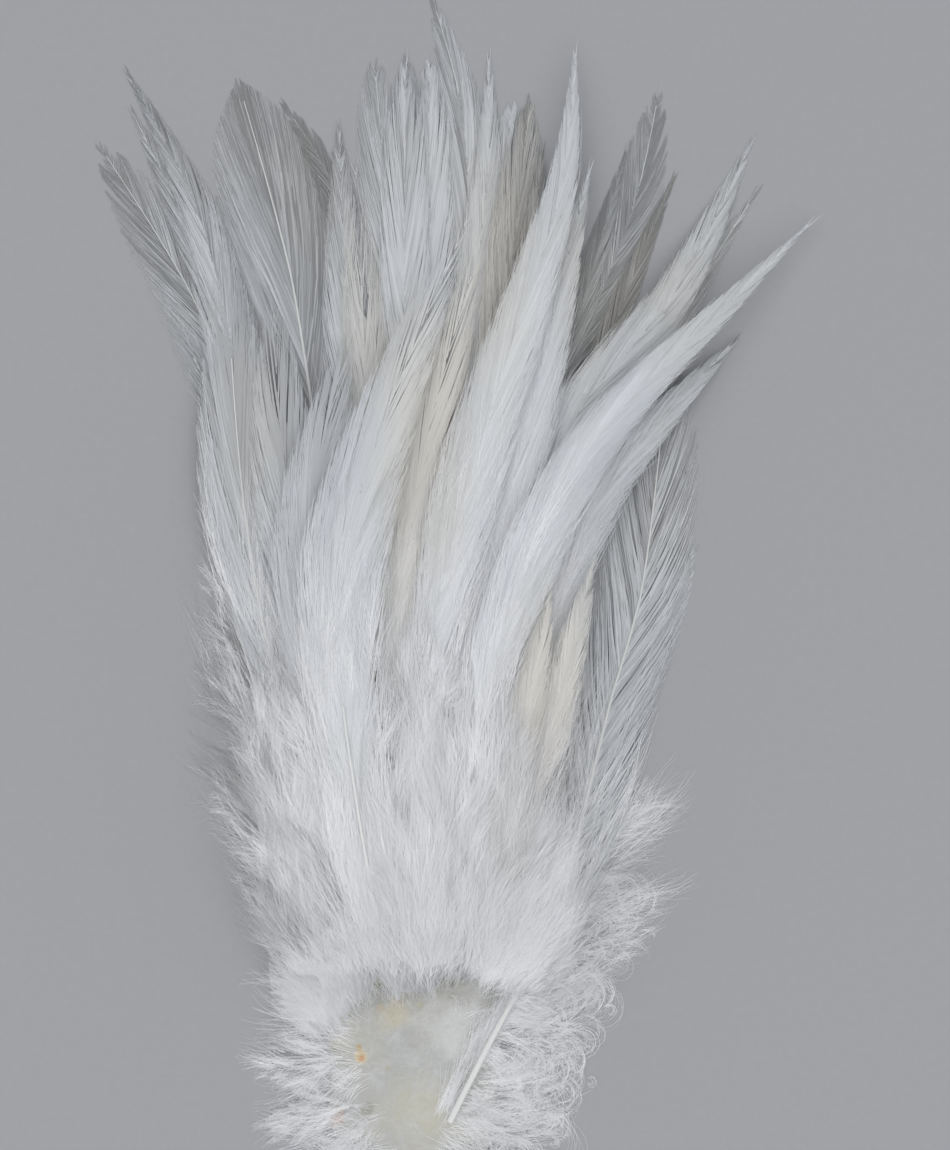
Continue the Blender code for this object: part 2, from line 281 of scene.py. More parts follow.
FEATHERS = [
    plume("right_near", [(9, -7), (17, -8), (24.5, -6.5)], 5.6),
    plume("right_low", [(11, -1), (20, 0), (27.5, 3.5)], 5.8),
    plume("right_middle", [(12.6, 6), (22, 9.5), (30.5, 15)], 5.8),
    plume("right_upper", [(13.6, 13), (26, 20.5), (38.5, 29.5)], 6.2),
    plume("right_high", [(14.5, 21), (26, 34), (41.5, 44.5)], 7.4),
    plume("end_left", [(-6, -12), (-13, -15.5), (-20.5, -16)], 5.4),
    plume("end_right", [(6, -12.5), (13, -16), (20, -16)], 5.4),
    plume("left_near", [(-10, -5), (-17, -7), (-22.5, -8)], 5.2),
    plume("left_low", [(-11, 3), (-18, 2.5), (-25, 2.5)], 5.6),
    plume("left_middle", [(-11.5, 10), (-17.5, 13), (-23.5, 16.5)], 5.2),
    plume("left_upper", [(-12.5, 16), (-18.5, 24), (-25.5, 34)], 5.8),
    plume("left_high", [(-13.5, 24), (-21, 36.5), (-32.5, 48.5)], 5.0),
    plume("left_long", [(-14, 34), (-22, 52), (-33, 72)], 7.2),
    plume("left_far", [(-14.5, 44), (-24, 66), (-33.5, 86)], 6.0),
    hackle("right_low", [(15.5, 32), (26, 46), (35, 62), (40, 72), (46.5, 86)], 4.4, 5, 0.5, 2.4),
    hackle(
        "right_broad",
        [(6.3, -7.5), (13, 6), (18.5, 16.5), (25.6, 35), (32.4, 61), (37.3, 78), (41, 108), (42.4, 118)],
        7.4, 7.5, 0.66, 4.0, bare=20.0,
    ),
    hackle("back_tallest", [(3.5, 60), (7.5, 105), (9.2, 145), (7.5, 160), (2.9, 176)], 4.9, 5, 0.6, 2.3),
    hackle("right_open", [(10, 58), (20, 95), (29.5, 123), (36.8, 143), (40.4, 160.5)], 4.8, 5.5, 0.62, 3.6),
    hackle("left_broad", [(-6, 60), (-14, 95), (-19.2, 128.6), (-28, 161)], 9.2, 6.5, 0.7, 3.6),
    hackle("back_sparse", [(-1, 58), (-6, 105), (-12.6, 144), (-22.1, 159)], 4.4, 5.5, 0.6, 2.0),
    hackle("left_outer", [(-12, 56), (-24.5, 98), (-35.4, 126.2), (-51.3, 151.6)], 5.7, 6, 0.68, 3.0),
    hackle("right_warm", [(14.5, 53), (24, 92), (34, 124), (43.4, 147)], 2.8, 5, 0.6, 1.8, CREAM_AND_SHADE),
    hackle("right_shade", [(7, 54), (15.5, 90), (26.8, 122), (35.4, 151)], 3.0, 5, 0.6, 2.0),
    hackle("centre_round", [(-3, 54), (-3.2, 105), (-4, 140), (-6, 165.3)], 4.5, 5.5, 0.72, 4.2),
    hackle("left_inner", [(-9.5, 52), (-21, 93), (-33, 130), (-46.2, 158)], 3.6, 5.5, 0.6, 1.8),
    hackle("centre_right", [(3, 51), (3.2, 105), (3, 165.5)], 4.2, 5.5, 0.68, 4.0),
    hackle("left_fringe", [(-14.5, 48), (-23, 84), (-30.6, 107), (-45, 133.5)], 3.9, 6, 0.6, 1.8),
    hackle("right_thin", [(15, 46), (28, 92), (44, 123.5), (56.7, 144)], 3.2, 5, 0.55, 1.8),
    hackle("centre_far_left", [(-6, 48), (-9.5, 105), (-11.7, 155)], 4.2, 5.5, 0.6, 2.0),
    hackle("centre_tall", [(-0.5, 47), (-1, 105), (-0.8, 165.7)], 4.2, 5.5, 0.68, 4.0),
    hackle("centre_blunt", [(6.5, 47), (10.5, 105), (16.6, 158.3)], 4.2, 5.5, 0.7, 4.6),
    hackle("left_spear", [(-11.5, 44), (-23.5, 92), (-34.6, 140.4), (-47.2, 164.2)], 4.6, 5.5, 0.6, 1.4),
    hackle("right_third", [(12, 42), (24, 82), (38, 113), (50.2, 135)], 3.2, 5, 0.5, 1.7),
    hackle("centre_left", [(-4, 41), (-6.5, 100), (-9.3, 152)], 4.2, 5.5, 0.6, 1.9, CREAM_AND_SHADE),
    hackle("centre_bright", [(3, 41), (7, 100), (12.6, 147), (12.6, 167)], 4.6, 5.5, 0.5, 1.8),
    hackle("left_shaft", [(-14, 38), (-24, 75), (-28, 105), (-30, 138)], 7.2, 6.5, 0.55, 1.7),
    hackle("centre_cream", [(8, 38), (13, 100), (19.4, 158.8)], 4.2, 5.5, 0.66, 4.6, CREAM_AND_SHADE),
    hackle("right_short", [(14.5, 37), (22, 72), (32.2, 96), (53.7, 119.8)], 4.2, 5.5, 0.5, 1.8),
    hackle("left_narrow", [(-9, 37), (-17, 80), (-21, 106), (-22, 131)], 6.2, 6, 0.55, 1.6),
    hackle("centre_edge", [(11.5, 34), (15.5, 95), (21.5, 151.5)], 3.2, 5.5, 0.6, 2.2, CREAM_AND_SHADE),
    hackle(
        "right_second",
        [(5.5, 33), (13, 75), (28, 108.5), (41.2, 124), (51.6, 143.5), (56, 152.9)],
        4.2, 5.5, 0.5, 2.4,
    ),
    hackle("cream_right", [(14, 30), (20.5, 50), (25.5, 68), (29.6, 84)], 3.6, 5, 0.5, 1.8, CREAM_AND_SHADE),
    hackle("cream_left", [(11, 28), (15.5, 46), (19, 62), (22.6, 80)], 3.6, 5, 0.5, 1.8, CREAM_AND_SHADE),
    hackle("middle", [(-0.5, 34), (-2.5, 72), (3, 104), (12, 137)], 6.4, 6, 0.5, 1.6, CREAM_AND_SHADE),
    hackle("front_shade", [(-8, 31), (-14.5, 62), (-15.5, 92), (-9, 122)], 7.0, 6.5, 0.5, 1.6),
    hackle("front_band", [(3, 29), (8, 62), (17, 98), (29.3, 148.1)], 5.8, 6, 0.45, 1.6),
    body("left_far", [(-12.5, 27), (-18, 48), (-22, 68)], 7.2),
    hackle("front_tall", [(0.5, 25), (5, 78), (17.5, 121), (24.7, 145), (26.6, 167.2)], 5.8, 6, 0.42, 1.6),
    hackle("front_right", [(7.5, 23), (13, 66), (28.5, 101), (50, 123.3), (66, 139)], 5.0, 6, 0.45, 1.3),
    body("right_far", [(12.5, 21), (18.5, 42), (24, 62)], 6.6),
    body("left", [(-6.5, 22), (-12.5, 42), (-16, 66)], 7.4),
    body("middle", [(1.5, 18), (2.5, 44), (1.5, 76)], 7.4),
    body("right", [(7, 16.5), (11.5, 40), (14, 70)], 7.2),
    body("left_near", [(-10.5, 16), (-15.5, 28), (-20, 42)], 7.4, 2.0),
    body("right_near", [(11.5, 13.5), (17, 25), (24, 39)], 7.4, 2.0),
    hackle("front_left", [(-2, 12.5), (-9, 50), (-10.5, 84), (11, 142)], 7.4, 6.5, 0.5, 1.4),
    body("front", [(3.5, 13.5), (3, 28), (1, 46)], 7.2, 2.0),
]
MELTING = {
    "left_narrow", "left_shaft", "front_shade", "front_left", "middle", "centre_left", "left_fringe",
}
print(len(FEATHERS), "feathers and plumes")

# %% [markdown]
# ## The outline of a feather
# A rachis is one smooth curve, so a Catmull-Rom curve goes through the few points above. The width starts
# at the bare quill, opens into down, and narrows through the vane to the tip.

# %% Curve and width
CURVE_STEPS = 24
FLUFF_FROM, FLUFF_OVER = 0.22, 0.25
SPREAD_FROM, SPREAD_OVER = 0.2, 0.3


def ease(x):
    """A smooth step from 0 to 1, for x from 0 to 1."""
    x = np.clip(x, 0.0, 1.0)
    return x * x * (3 - 2 * x)


def smooth_path(points):
    """A dense Catmull-Rom curve through the points, with its arc length."""
    p = np.array(points, float)
    p = np.vstack([2 * p[0] - p[1], p, 2 * p[-1] - p[-2]])
    dense = []
    for i in range(1, len(p) - 2):
        knots = [0.0]
        for k in range(3):
            knots.append(knots[-1] + math.sqrt(np.linalg.norm(p[i + k] - p[i + k - 1])))
        for t in np.linspace(knots[1], knots[2], CURVE_STEPS, endpoint=False):
            row = list(p[i - 1 : i + 3])
            for order in range(1, 4):
                spans = [knots[k + order] - knots[k] for k in range(len(row) - 1)]
                row = [
                    ((knots[k + order] - t) * row[k] + (t - knots[k]) * row[k + 1]) / span
                    for k, span in enumerate(spans)
                ]
            dense.append(row[0])
    dense.append(p[-2])
    dense = np.array(dense)
    arc = np.concatenate([[0], np.cumsum(np.linalg.norm(np.diff(dense, axis=0), axis=1))])
    return dense, arc


def half_width(feather, s, length):
    """Half the feather's width at distances s from its root."""
    t = s / length
    past = np.maximum(0.0, (t - feather.widest) / (1 - feather.widest))
    vane = feather.vane * (1 - past**feather.blunt)
    fluff = feather.down * (1 - ease((t - FLUFF_FROM) / FLUFF_OVER))
    if feather.slot == DOWN:
        width, opens = vane, PLUME_OPENS
    else:
        width = vane + np.maximum(0.0, fluff - vane) * (1 - ease((t - SPREAD_FROM) / SPREAD_OVER))
        opens = BODY_OPENS if feather.name.startswith("body_") else HACKLE_OPENS
    opened = ease((s - feather.bare) / opens)
    return np.maximum(QUILL_RADIUS + (width - QUILL_RADIUS) * opened, TIP_HALF_WIDTH)


print("longest rachis, mm:", round(max(smooth_path(f.spine)[1][-1] for f in FEATHERS), 1))

# %% [markdown]
# ## A solid as a bed for strands
# Each strand has to lie where its feather's solid lies. Rays cast down onto the solid give its height on a
# small grid: s runs along the rachis and u across it. Any strand can then be drawn flat in (s, u) and laid
# onto the bed, however the real feather bends over the ones below.

# %% The bed
LANES = 9
LANE_REACH = 0.96
BED_STEP = 1.5
LOWEST = 0.12
ABOVE_ALL = 0.1
CELL = 0.6
GROUND_LOW = np.array((-90.0, -40.0))
GROUND_SHAPE = (int(230 / CELL), int(180 / CELL))
DROOP = 0.45
EDGE_SINKS = 0.5
TIP_SINKS = 0.4
MELTING_SINKS = 1.4
MELTS_FROM, MELTS_OVER = 0.45, 0.5


def solid_tree(name):
    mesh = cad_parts[name].data
    return BVHTree.FromPolygons([v.co for v in mesh.vertices], [tuple(p.vertices) for p in mesh.polygons])


def solid_top(tree, x, y):
    """The height of a solid's top at (x, y), or None beside it."""
    hit = tree.ray_cast(Vector((x * MM, y * MM, ABOVE_ALL)), Vector((0, 0, -1)))[0]
    return hit.z / MM if hit else None


def ground_cell(x, y):
    column = np.clip(((x - GROUND_LOW[0]) / CELL).astype(int), 0, GROUND_SHAPE[1] - 1)
    row = np.clip(((y - GROUND_LOW[1]) / CELL).astype(int), 0, GROUND_SHAPE[0] - 1)
    return row, column


class Bed:
    """One feather's solid, ready to take strands. Everything here is in millimetres."""

    def __init__(self, feather, below):
        self.feather = feather
        self.path, self.arc = smooth_path(feather.spine)
        self.length = self.arc[-1]
        self.tangent = np.gradient(self.path, self.arc, axis=0)
        self.tangent /= np.linalg.norm(self.tangent, axis=1)[:, None]
        self.s = np.linspace(0, self.length, int(self.length / BED_STEP) + 2)
        self.heights = self.read_heights(solid_tree(feather.name))
        self.below = below.copy()
        self.melts = feather.name.replace("feather_", "") in MELTING

    def width(self, s):
        return half_width(self.feather, np.clip(s, 0, self.length), self.length)

    def line(self, s):
        """Place and direction on the rachis, carried straight on beyond its ends."""
        inside = np.clip(s, 0, self.length)
        place = np.stack([np.interp(inside, self.arc, self.path[:, k]) for k in (0, 1)], -1)
        ahead = np.stack([np.interp(inside, self.arc, self.tangent[:, k]) for k in (0, 1)], -1)
        return place + ahead * (s - inside)[..., None], ahead

    def spot(self, s, u):
        """Where (s, u) is, as x and y."""
        place, ahead = self.line(s)
        return place[..., 0] + ahead[..., 1] * u, place[..., 1] - ahead[..., 0] * u

    def read_heights(self, tree):
        """The solid's top in rows along the rachis, with gaps filled from what was hit beside them."""
        lanes = np.linspace(-LANE_REACH, LANE_REACH, LANES)
        place, ahead = self.line(self.s)
        wide = self.width(self.s)
        heights = np.full((len(self.s), LANES), np.nan)
        for i in range(len(self.s)):
            for j, lane in enumerate(lanes):
                x = place[i, 0] + ahead[i, 1] * wide[i] * lane
                y = place[i, 1] - ahead[i, 0] * wide[i] * lane
                top = solid_top(tree, x, y)
                if top is not None:
                    heights[i, j] = top
            found = ~np.isnan(heights[i])
            if found.any():
                heights[i] = np.interp(lanes, lanes[found], heights[i, found])
        known = ~np.isnan(heights[:, 0])
        for j in range(LANES):
            heights[:, j] = np.interp(self.s, self.s[known], heights[known, j])
        return heights

    def height(self, s, u):
        """The solid's top at (s, u)."""
        row = np.clip(s, 0, self.length) / self.length * (len(self.s) - 1)
        lane = (np.clip(u / self.width(s), -LANE_REACH, LANE_REACH) / LANE_REACH + 1) / 2 * (LANES - 1)
        i = np.minimum(row.astype(int), len(self.s) - 2)
        j = np.minimum(lane.astype(int), LANES - 2)
        a, b = row - i, lane - j
        h = self.heights
        low = h[i, j] * (1 - b) + h[i, j + 1] * b
        high = h[i + 1, j] * (1 - b) + h[i + 1, j + 1] * b
        return low * (1 - a) + high * a

    def lay(self, s, u, lift):
        """Points in space for strands drawn in (s, u), lifted above the solid's top.

        Towards the edges and the tip the strands sink through the solid, so a feather has no step round it.
        Beyond the solid's edge a strand droops, until it lies on what is below.
        """
        x, y = self.spot(s, u)
        wide = self.width(s)
        beyond = np.maximum(np.abs(u) - wide, 0) + np.maximum(s - self.length, 0) + np.maximum(-s, 0)
        t = s / self.length
        sunk = EDGE_SINKS * np.minimum(np.abs(u) / wide, 1) ** 2 + TIP_SINKS * ease(4 * t - 3)
        if self.melts:
            sunk = sunk + MELTING_SINKS * ease((t - MELTS_FROM) / MELTS_OVER)
        z = np.maximum(self.height(s, u) - sunk - DROOP * beyond, self.below[ground_cell(x, y)])
        return np.stack([x, y, np.maximum(z + lift, LOWEST)], -1)


print("bed class ready")

# %% [markdown]
# ## The ground under each feather
# Strands that droop past the edge of their feather come to rest on the feathers below. So the beds are read
# from the lowest feather up, and a map of the highest points so far is the ground for the next one.
# Near the skin the down doesn't end in a cliff. It climbs from the uneven line where it is rooted, over a
# slope, to the top of the bunch, and the feathers of the front lie on that slope.

# %% The ground, the slope of down and all beds
COVER_LANES = 41
SKIN_X = (-18, 19)
SKIN_Y = (-18, 64)
ROOT_LINE_X = (-14, -10, -7.5, -5, -2.5, 0, 3, 7, 12, 17)
ROOT_LINE_Y = (8, 10.5, 13, 16, 13.5, 13.5, 15, 17, 16.5, 16.5)
FIRST_ON_SLOPE = "body_left_far"
SLOPE_X = (-17.0, 20.5)
SLOPE_START = 6.0
SLOPE_END = 25.0
SLOPE_TOP = 16.5
SLOPE_SIDES = 4
SKIN_HEIGHT = 1.1


def cover(ground, bed):
    """Raises the ground to the top of a bed."""
    s = np.arange(0, bed.length, CELL * 0.6)[:, None]
    u = bed.width(s) * np.linspace(-1, 1, COVER_LANES)[None, :]
    p = bed.lay(s + 0 * u, u, 0.0)
    np.maximum.at(ground, ground_cell(p[..., 0], p[..., 1]), p[..., 2])


def root_line(x):
    """The uneven line, across the skin, along which the down is rooted."""
    return np.interp(x, ROOT_LINE_X, ROOT_LINE_Y)


def down_slope(x, y):
    """The height of the slope on which the down climbs from the skin to the top of the bunch."""
    foot = root_line(x) - 0.5
    climb = np.clip((y - foot) / (SLOPE_END - foot), 0, 1)
    inside = ease((x - SLOPE_X[0]) / SLOPE_SIDES) * ease((SLOPE_X[1] - x) / SLOPE_SIDES)
    return (SKIN_HEIGHT + (SLOPE_TOP - SKIN_HEIGHT) * climb * (1.3 - 0.3 * climb)) * inside


step = CELL * 0.9
ground = np.zeros(GROUND_SHAPE)
skin_tree = solid_tree("skin_patch")
for y in np.arange(*SKIN_Y, step):
    for x in np.arange(*SKIN_X, step):
        cell = ground_cell(x, y)
        ground[cell] = max(ground[cell], solid_top(skin_tree, x, y) or 0.0)
beds = {}
for feather in FEATHERS:
    if feather.name == FIRST_ON_SLOPE:
        for y in np.arange(SLOPE_START, SLOPE_END, step):
            x = np.arange(*SLOPE_X, step)
            np.maximum.at(ground, ground_cell(x, y + 0 * x), down_slope(x, y))
    beds[feather.name] = Bed(feather, ground)
    cover(ground, beds[feather.name])
print("beds read:", len(beds), "highest, mm:", round(max(b.heights.max() for b in beds.values()), 1))

# %% [markdown]
# ## Strands as mesh
# A barb is far thinner than it is long, so each is one narrow ribbon of a few quads, and the finest hairs
# on the down are single triangles. A pile collects all strands of one feather and makes one mesh of them.
# Two things go with every strand. One is its look, for the material to read: its shade, which holds its own
# tone together with painted shade and light, the distance along it and how fluffy it is. The other is a small
# patch of the UV map, so that colours can be baked.

# %% The pile
FIRST_HAIR = 0.12
HAIR_HALF_WIDTH = 0.022
PATCH_SIDE, PATCH_END = 0.12, 0.06


def unit(v):
    return v / np.maximum(np.linalg.norm(v, axis=-1, keepdims=True), 1e-9)


def across(run, roll):
    """The direction across a strand that runs along run, turned round it by roll."""
    side = unit(np.cross(run, (0, 0, 1)))
    return side * np.cos(roll) + np.cross(side, run) * np.sin(roll)


class Pile:
    """The strands of one piece."""

    def __init__(self):
        self.points = []
        self.faces = []
        self.look = []
        self.patch = []
        self.inside = []
        self.total = 0
        self.patches = 0

    def put(self, points, faces, look, patch, inside):
        """Points (n, 3), faces as rows of point numbers, and each point's look, patch and place in it."""
        self.points.append(points)
        self.look.append(look)
        self.patch.append(patch)
        self.inside.append(inside)
        self.faces += (faces + self.total).tolist()
        self.total += len(points)

    def ribbons(self, p, half, roll, shade, fluff):
        """Ribbons along p (n, m, 3) with half-widths half (n, m), rolls and shades per ribbon."""
        n, m = p.shape[:2]
        run = unit(np.gradient(p, axis=1))
        side = across(run, roll[:, None, None]) * half[..., None]
        points = np.stack([p - side, p + side], 2)
        steps = np.arange(m - 1)
        quad = np.stack([2 * steps, 2 * steps + 1, 2 * steps + 3, 2 * steps + 2], 1)
        faces = (quad[None] + 2 * m * np.arange(n)[:, None, None]).reshape(-1, 4)
        along = np.broadcast_to(np.linspace(0, 1, m)[None, :, None], (n, m, 2))
        shades = np.broadcast_to(shade[:, None, None], along.shape)
        look = np.stack([shades, along, np.full(along.shape, fluff)], -1)
        left_right = np.broadcast_to(np.array([0.0, 1.0])[None, None, :], along.shape)
        patch = np.broadcast_to(self.patches + np.arange(n)[:, None, None], along.shape)
        self.put(
            points.reshape(-1, 3), faces, look.reshape(-1, 3), patch.reshape(-1),
            np.stack([left_right, along], -1).reshape(-1, 2),
        )
        first = self.patches
        self.patches += n
        return first

    def hairs(self, p, first, count, size, rng, shade, fluff):
        """Single-triangle hairs on ribbons p, count to each, alternating sides."""
        n, m = p.shape[:2]
        t = np.sort(FIRST_HAIR + (1 - FIRST_HAIR) * rng.random((n, count)), axis=1)
        place = np.minimum(t, 0.999) * (m - 1)
        i = place.astype(int)
        share = (place - i)[..., None]
        rows = np.arange(n)[:, None]
        low, high = p[rows, i], p[rows, i + 1]
        root = low * (1 - share) + high * share
        run = unit(high - low)
        side = across(run, np.zeros((n, count, 1)))
        sign = np.where((np.arange(count) + rng.integers(0, 2, (n, 1))) % 2, 1.0, -1.0)
        angle = rng.uniform(0.45, 1.15, (n, count))
        rise = rng.uniform(-0.25, 0.4, (n, count))
        aim = run * np.cos(angle)[..., None] + side * (np.sin(angle) * sign)[..., None]
        aim[..., 2] += rise
        length = size * rng.uniform(0.5, 1.15, (n, count)) * (1 - 0.45 * t)
        tip = root + unit(aim) * length[..., None]
        tip[..., 2] = np.maximum(tip[..., 2], LOWEST)
        spread = run * HAIR_HALF_WIDTH
        points = np.stack([root - spread, root + spread, tip], 2).reshape(-1, 3)
        flip = (sign < 0).reshape(-1)
        base = 3 * np.arange(n * count)
        faces = np.stack([base, np.where(flip, base + 1, base + 2), np.where(flip, base + 2, base + 1)], 1)
        tt = np.repeat(t.reshape(-1), 3)
        look = np.stack([np.repeat(np.repeat(shade, count), 3), tt, np.full(tt.shape, fluff)], 1)
        patch = np.repeat(np.repeat(first + np.arange(n), count), 3)
        along = np.clip(tt * 0.9 + np.tile([0, 0, 0.1], n * count), 0, 1)
        inside = np.stack([np.tile([0.2, 0.8, 0.5], n * count), along], 1)
        self.put(points, faces, look, patch, inside)

    def sheet(self, p, shade, fluff):
        """One soft surface through the grid p (n, m, 3)."""
        n, m = p.shape[:2]
        base = (np.arange(n - 1)[:, None] * m + np.arange(m - 1)[None, :]).reshape(-1)
        faces = np.stack([base, base + m, base + m + 1, base + 1], 1)
        along = np.broadcast_to(np.linspace(0, 1, n)[:, None], (n, m)).reshape(-1)
        aside = np.broadcast_to(np.linspace(0, 1, m)[None, :], (n, m)).reshape(-1)
        look = np.stack([np.full(n * m, shade), 0.5 * along, np.full(n * m, fluff)], 1)
        self.put(p.reshape(-1, 3), faces, look, np.full(n * m, self.patches), np.stack([aside, along], 1))
        self.patches += 1

    def tube(self, p, radius, sides, shade, fluff):
        """A closed round rod along p (m, 3)."""
        m = len(p)
        run = unit(np.gradient(p, axis=0))
        side = unit(np.cross(run, (0, 0, 1)))
        top = np.cross(side, run)
        turn = np.linspace(0, 2 * np.pi, sides, endpoint=False)
        ring = side[:, None] * np.cos(turn)[None, :, None] + top[:, None] * np.sin(turn)[None, :, None]
        points = (p[:, None] + ring * radius[:, None, None]).reshape(-1, 3)
        quads = [
            (low + a, low + sides + a, low + sides + (a + 1) % sides, low + (a + 1) % sides)
            for low in range(0, (m - 1) * sides, sides)
            for a in range(sides)
        ]
        along = np.repeat(np.linspace(0, 1, m), sides)
        look = np.stack([np.full(m * sides, shade), along, np.full(m * sides, fluff)], 1)
        inside = np.stack([np.tile(np.abs(np.linspace(-1, 1, sides)), m), along], 1)
        start = self.total
        self.put(points, np.array(quads), look, np.full(m * sides, self.patches), inside)
        self.faces.append([start + a for a in range(sides)])
        self.faces.append([start + (m - 1) * sides + a for a in reversed(range(sides))])
        self.patches += 1

    def make(self, name, material):
        """The mesh object, with its look and its UV patches."""
        mesh = bpy.data.meshes.new(name)
        points = np.concatenate(self.points) * MM
        mesh.from_pydata(points.tolist(), [], self.faces)
        look = mesh.attributes.new("strand", "FLOAT_VECTOR", "POINT")
        look.data.foreach_set("vector", np.concatenate(self.look).astype(np.float32).ravel())
        patch = np.concatenate(self.patch)
        inside = np.concatenate(self.inside)
        columns = max(1, int(math.sqrt(self.patches * 3)))
        rows = math.ceil(self.patches / columns)
        u = (patch % columns + PATCH_SIDE + (1 - 2 * PATCH_SIDE) * inside[:, 0]) / columns
        v = (patch // columns + PATCH_END + (1 - 2 * PATCH_END) * inside[:, 1]) / rows
        corner = np.empty(len(mesh.loops), np.int32)
        mesh.loops.foreach_get("vertex_index", corner)
        uv = mesh.uv_layers.new(name="OFBake")
        uv.data.foreach_set("uv", np.stack([u[corner], v[corner]], 1).astype(np.float32).ravel())
        mesh.materials.append(material)
        return new_object(name, mesh)


def triangles(thing):
    return sum(len(p.vertices) - 2 for p in thing.data.polygons)


print("pile ready")

# %% [markdown]
# ## The finish of a barb
# White feathers are never one white. Their keratin is clear and colourless; it looks white because it
# scatters light, and some of that light comes through from the far side. So the finish mixes a soft white
# shader with a little Translucent. Its colour drifts from cool to warm over the bunch and is warmest in a few
# places (x, y, reach in x, reach in y, strength), partly the feathers' own cream and partly a painted warm
# shade where they lie deep between others. It gets its brightness from each strand's shade, in which painted
# shade and light are mixed with the strand's own tone.

# %% Feather finishes
SILK_SHEEN = 0.25
SILK_ROUGHNESS = 0.48
MIDDLE_SHADE, SHADE_STRENGTH, MIDDLE_WHITE = 0.55, 0.45, 0.93
PAINTED_SHADE_FROM, PAINTED_SHADE_STRENGTH = 0.4, 0.9
DRIFT_SCALE = 26
DRIFT_STRENGTH = 1.6
THROUGH = 0.24
MORE_THROUGH_DOWN = 0.22
GLOW_WHITE = rgb(240, 241, 243)
COOL_WHITE = rgb(212, 215, 219)
WARM_WHITE_AND_SHADE = rgb(217, 217, 213)
CREAM_WHITE = rgb(214, 215, 213)
# Its warm end carries the painted warm shade as well as the cream.
DEEP_CREAM_AND_SHADE = rgb(215, 212, 206)
# Warm places: partly the feathers' own cream, partly a painted warm shade where feathers lie deep between
# others.
WARM_TINT_AND_SHADE_PLACES = [
    (2.0, 98.0, 10.0, 34.0, 0.8), (14.0, 130.0, 9.0, 28.0, 0.6), (28.0, 124.0, 7.0, 24.0, 0.5),
    (21.0, 62.0, 9.0, 24.0, 0.7), (16.0, 41.0, 6.0, 11.0, 1.0), (-17.0, 148.0, 6.0, 20.0, 0.35),
    (-24.0, 100.0, 7.0, 30.0, 0.25), (40.0, 128.0, 12.0, 14.0, 0.3),
]
SILK_WHITE = rgb(230, 231, 234)
DOWN_WHITE = rgb(254, 254, 255)
SHAFT_WHITE = rgb(246, 246, 243)


def feather_finish(name, cool, warm, down, shaft, drift):
    """cool and warm are the two whites of the vane, down is its fluff and shaft its rachis."""
    made = Finish(name)
    strand = made.add("ShaderNodeAttribute", {"attribute_name": "strand"}, out=1)
    shade = made.add("ShaderNodeSeparateXYZ", {}, {0: strand})
    along, fluff = shade.other(1), shade.other(2)
    share = (made.cloud(DRIFT_SCALE, 3, 0.6) - 0.5) * DRIFT_STRENGTH + drift
    # Warmer in the warm places: own cream and painted warm shade together.
    for x, y, reach_x, reach_y, strength in WARM_TINT_AND_SHADE_PLACES:
        flat = made.vector("MULTIPLY", made.place(), (1 / (reach_x * MM), 1 / (reach_y * MM), 0))
        far = made.vector("DISTANCE", flat, (x / reach_x, y / reach_y, 0), out=1)
        share = share + (1 - far).clipped() * (DRIFT_STRENGTH * strength)
    share = share.clipped()
    vane = made.blend(cool, warm, share)
    white = made.blend(vane, down, fluff.clipped() * (1 - share * 0.4))
    white = made.blend(white, shaft, (fluff - 1.5).clipped() * 2)
    streak = (shade - MIDDLE_SHADE) * SHADE_STRENGTH + MIDDLE_WHITE
    # Painted shade: shades under a threshold darken much faster, so deep, back and thin feathers come out
    # grey.
    streak = streak - (PAINTED_SHADE_FROM - shade).clipped() * PAINTED_SHADE_STRENGTH
    tip = 1 - (along**3) * 0.05
    lit = made.add("ShaderNodeVectorMath", {"operation": "SCALE"}, {0: white, "Scale": streak * tip})
    sockets = {"Base Color": lit, "Roughness": SILK_ROUGHNESS, "Specular IOR Level": 0.35}
    sheen = {"Sheen Weight": SILK_SHEEN, "Sheen Roughness": 0.4}
    silk = made.add("ShaderNodeBsdfPrincipled", {}, sockets | sheen)
    glow = made.add("ShaderNodeBsdfTranslucent", {}, {"Color": GLOW_WHITE})
    through = fluff.clipped() * MORE_THROUGH_DOWN + THROUGH
    return made.show(made.add("ShaderNodeMixShader", {}, {0: through, 1: silk, 2: glow}))


finishes = {
    WHITE: feather_finish("feather_white", COOL_WHITE, WARM_WHITE_AND_SHADE, DOWN_WHITE, SHAFT_WHITE, 0.08),
    CREAM_AND_SHADE: feather_finish("feather_cream", CREAM_WHITE, DEEP_CREAM_AND_SHADE, DOWN_WHITE, SHAFT_WHITE, 0.3),
    DOWN: feather_finish("down_white", DOWN_WHITE, SILK_WHITE, DOWN_WHITE, SHAFT_WHITE, 0.2),
}
print("finishes:", ", ".join(finishes))

# %% [markdown]
# ## The rachis
# Each feather hangs on one shaft that tapers evenly from the quill to a hair at the tip. A closed eight-sided
# rod is enough at this size. On some feathers it stands clear of the barbs, on others they hide it.

# %% Shaft
SHAFT_THICK = 0.46
SHAFT_THIN = 0.07
SHAFT_END = 0.965


def shaft_radius(t):
    return SHAFT_THIN + (SHAFT_THICK - SHAFT_THIN) * (1 - t) ** 1.25


def add_shaft(pile, bed, sunk, thick, start=0.0, end=SHAFT_END):
    s = np.linspace(start * bed.length, end * bed.length, max(8, int(bed.length / 4)))
    radius = shaft_radius(s / bed.length) * thick
    p = bed.lay(s, np.zeros_like(s), -radius - sunk)
    pile.tube(p, radius, 8, 0.6, 2.0)


print("a quill is", round(2 * SHAFT_THICK, 2), "mm thick")

# %% [markdown]
# ## The vane
# Barbs leave the shaft at a low angle and bend forward until they run almost along the edge. Where they hold
# together the blade is smooth; where they let go they draw into locks, with dark gaps between. Each barb's
# tip is pulled towards the tip of its own lock to give that, by as much as the feather is open. Barbs end at
# different distances from the shaft, so the edge of the blade thins out instead of ending in a hard line.

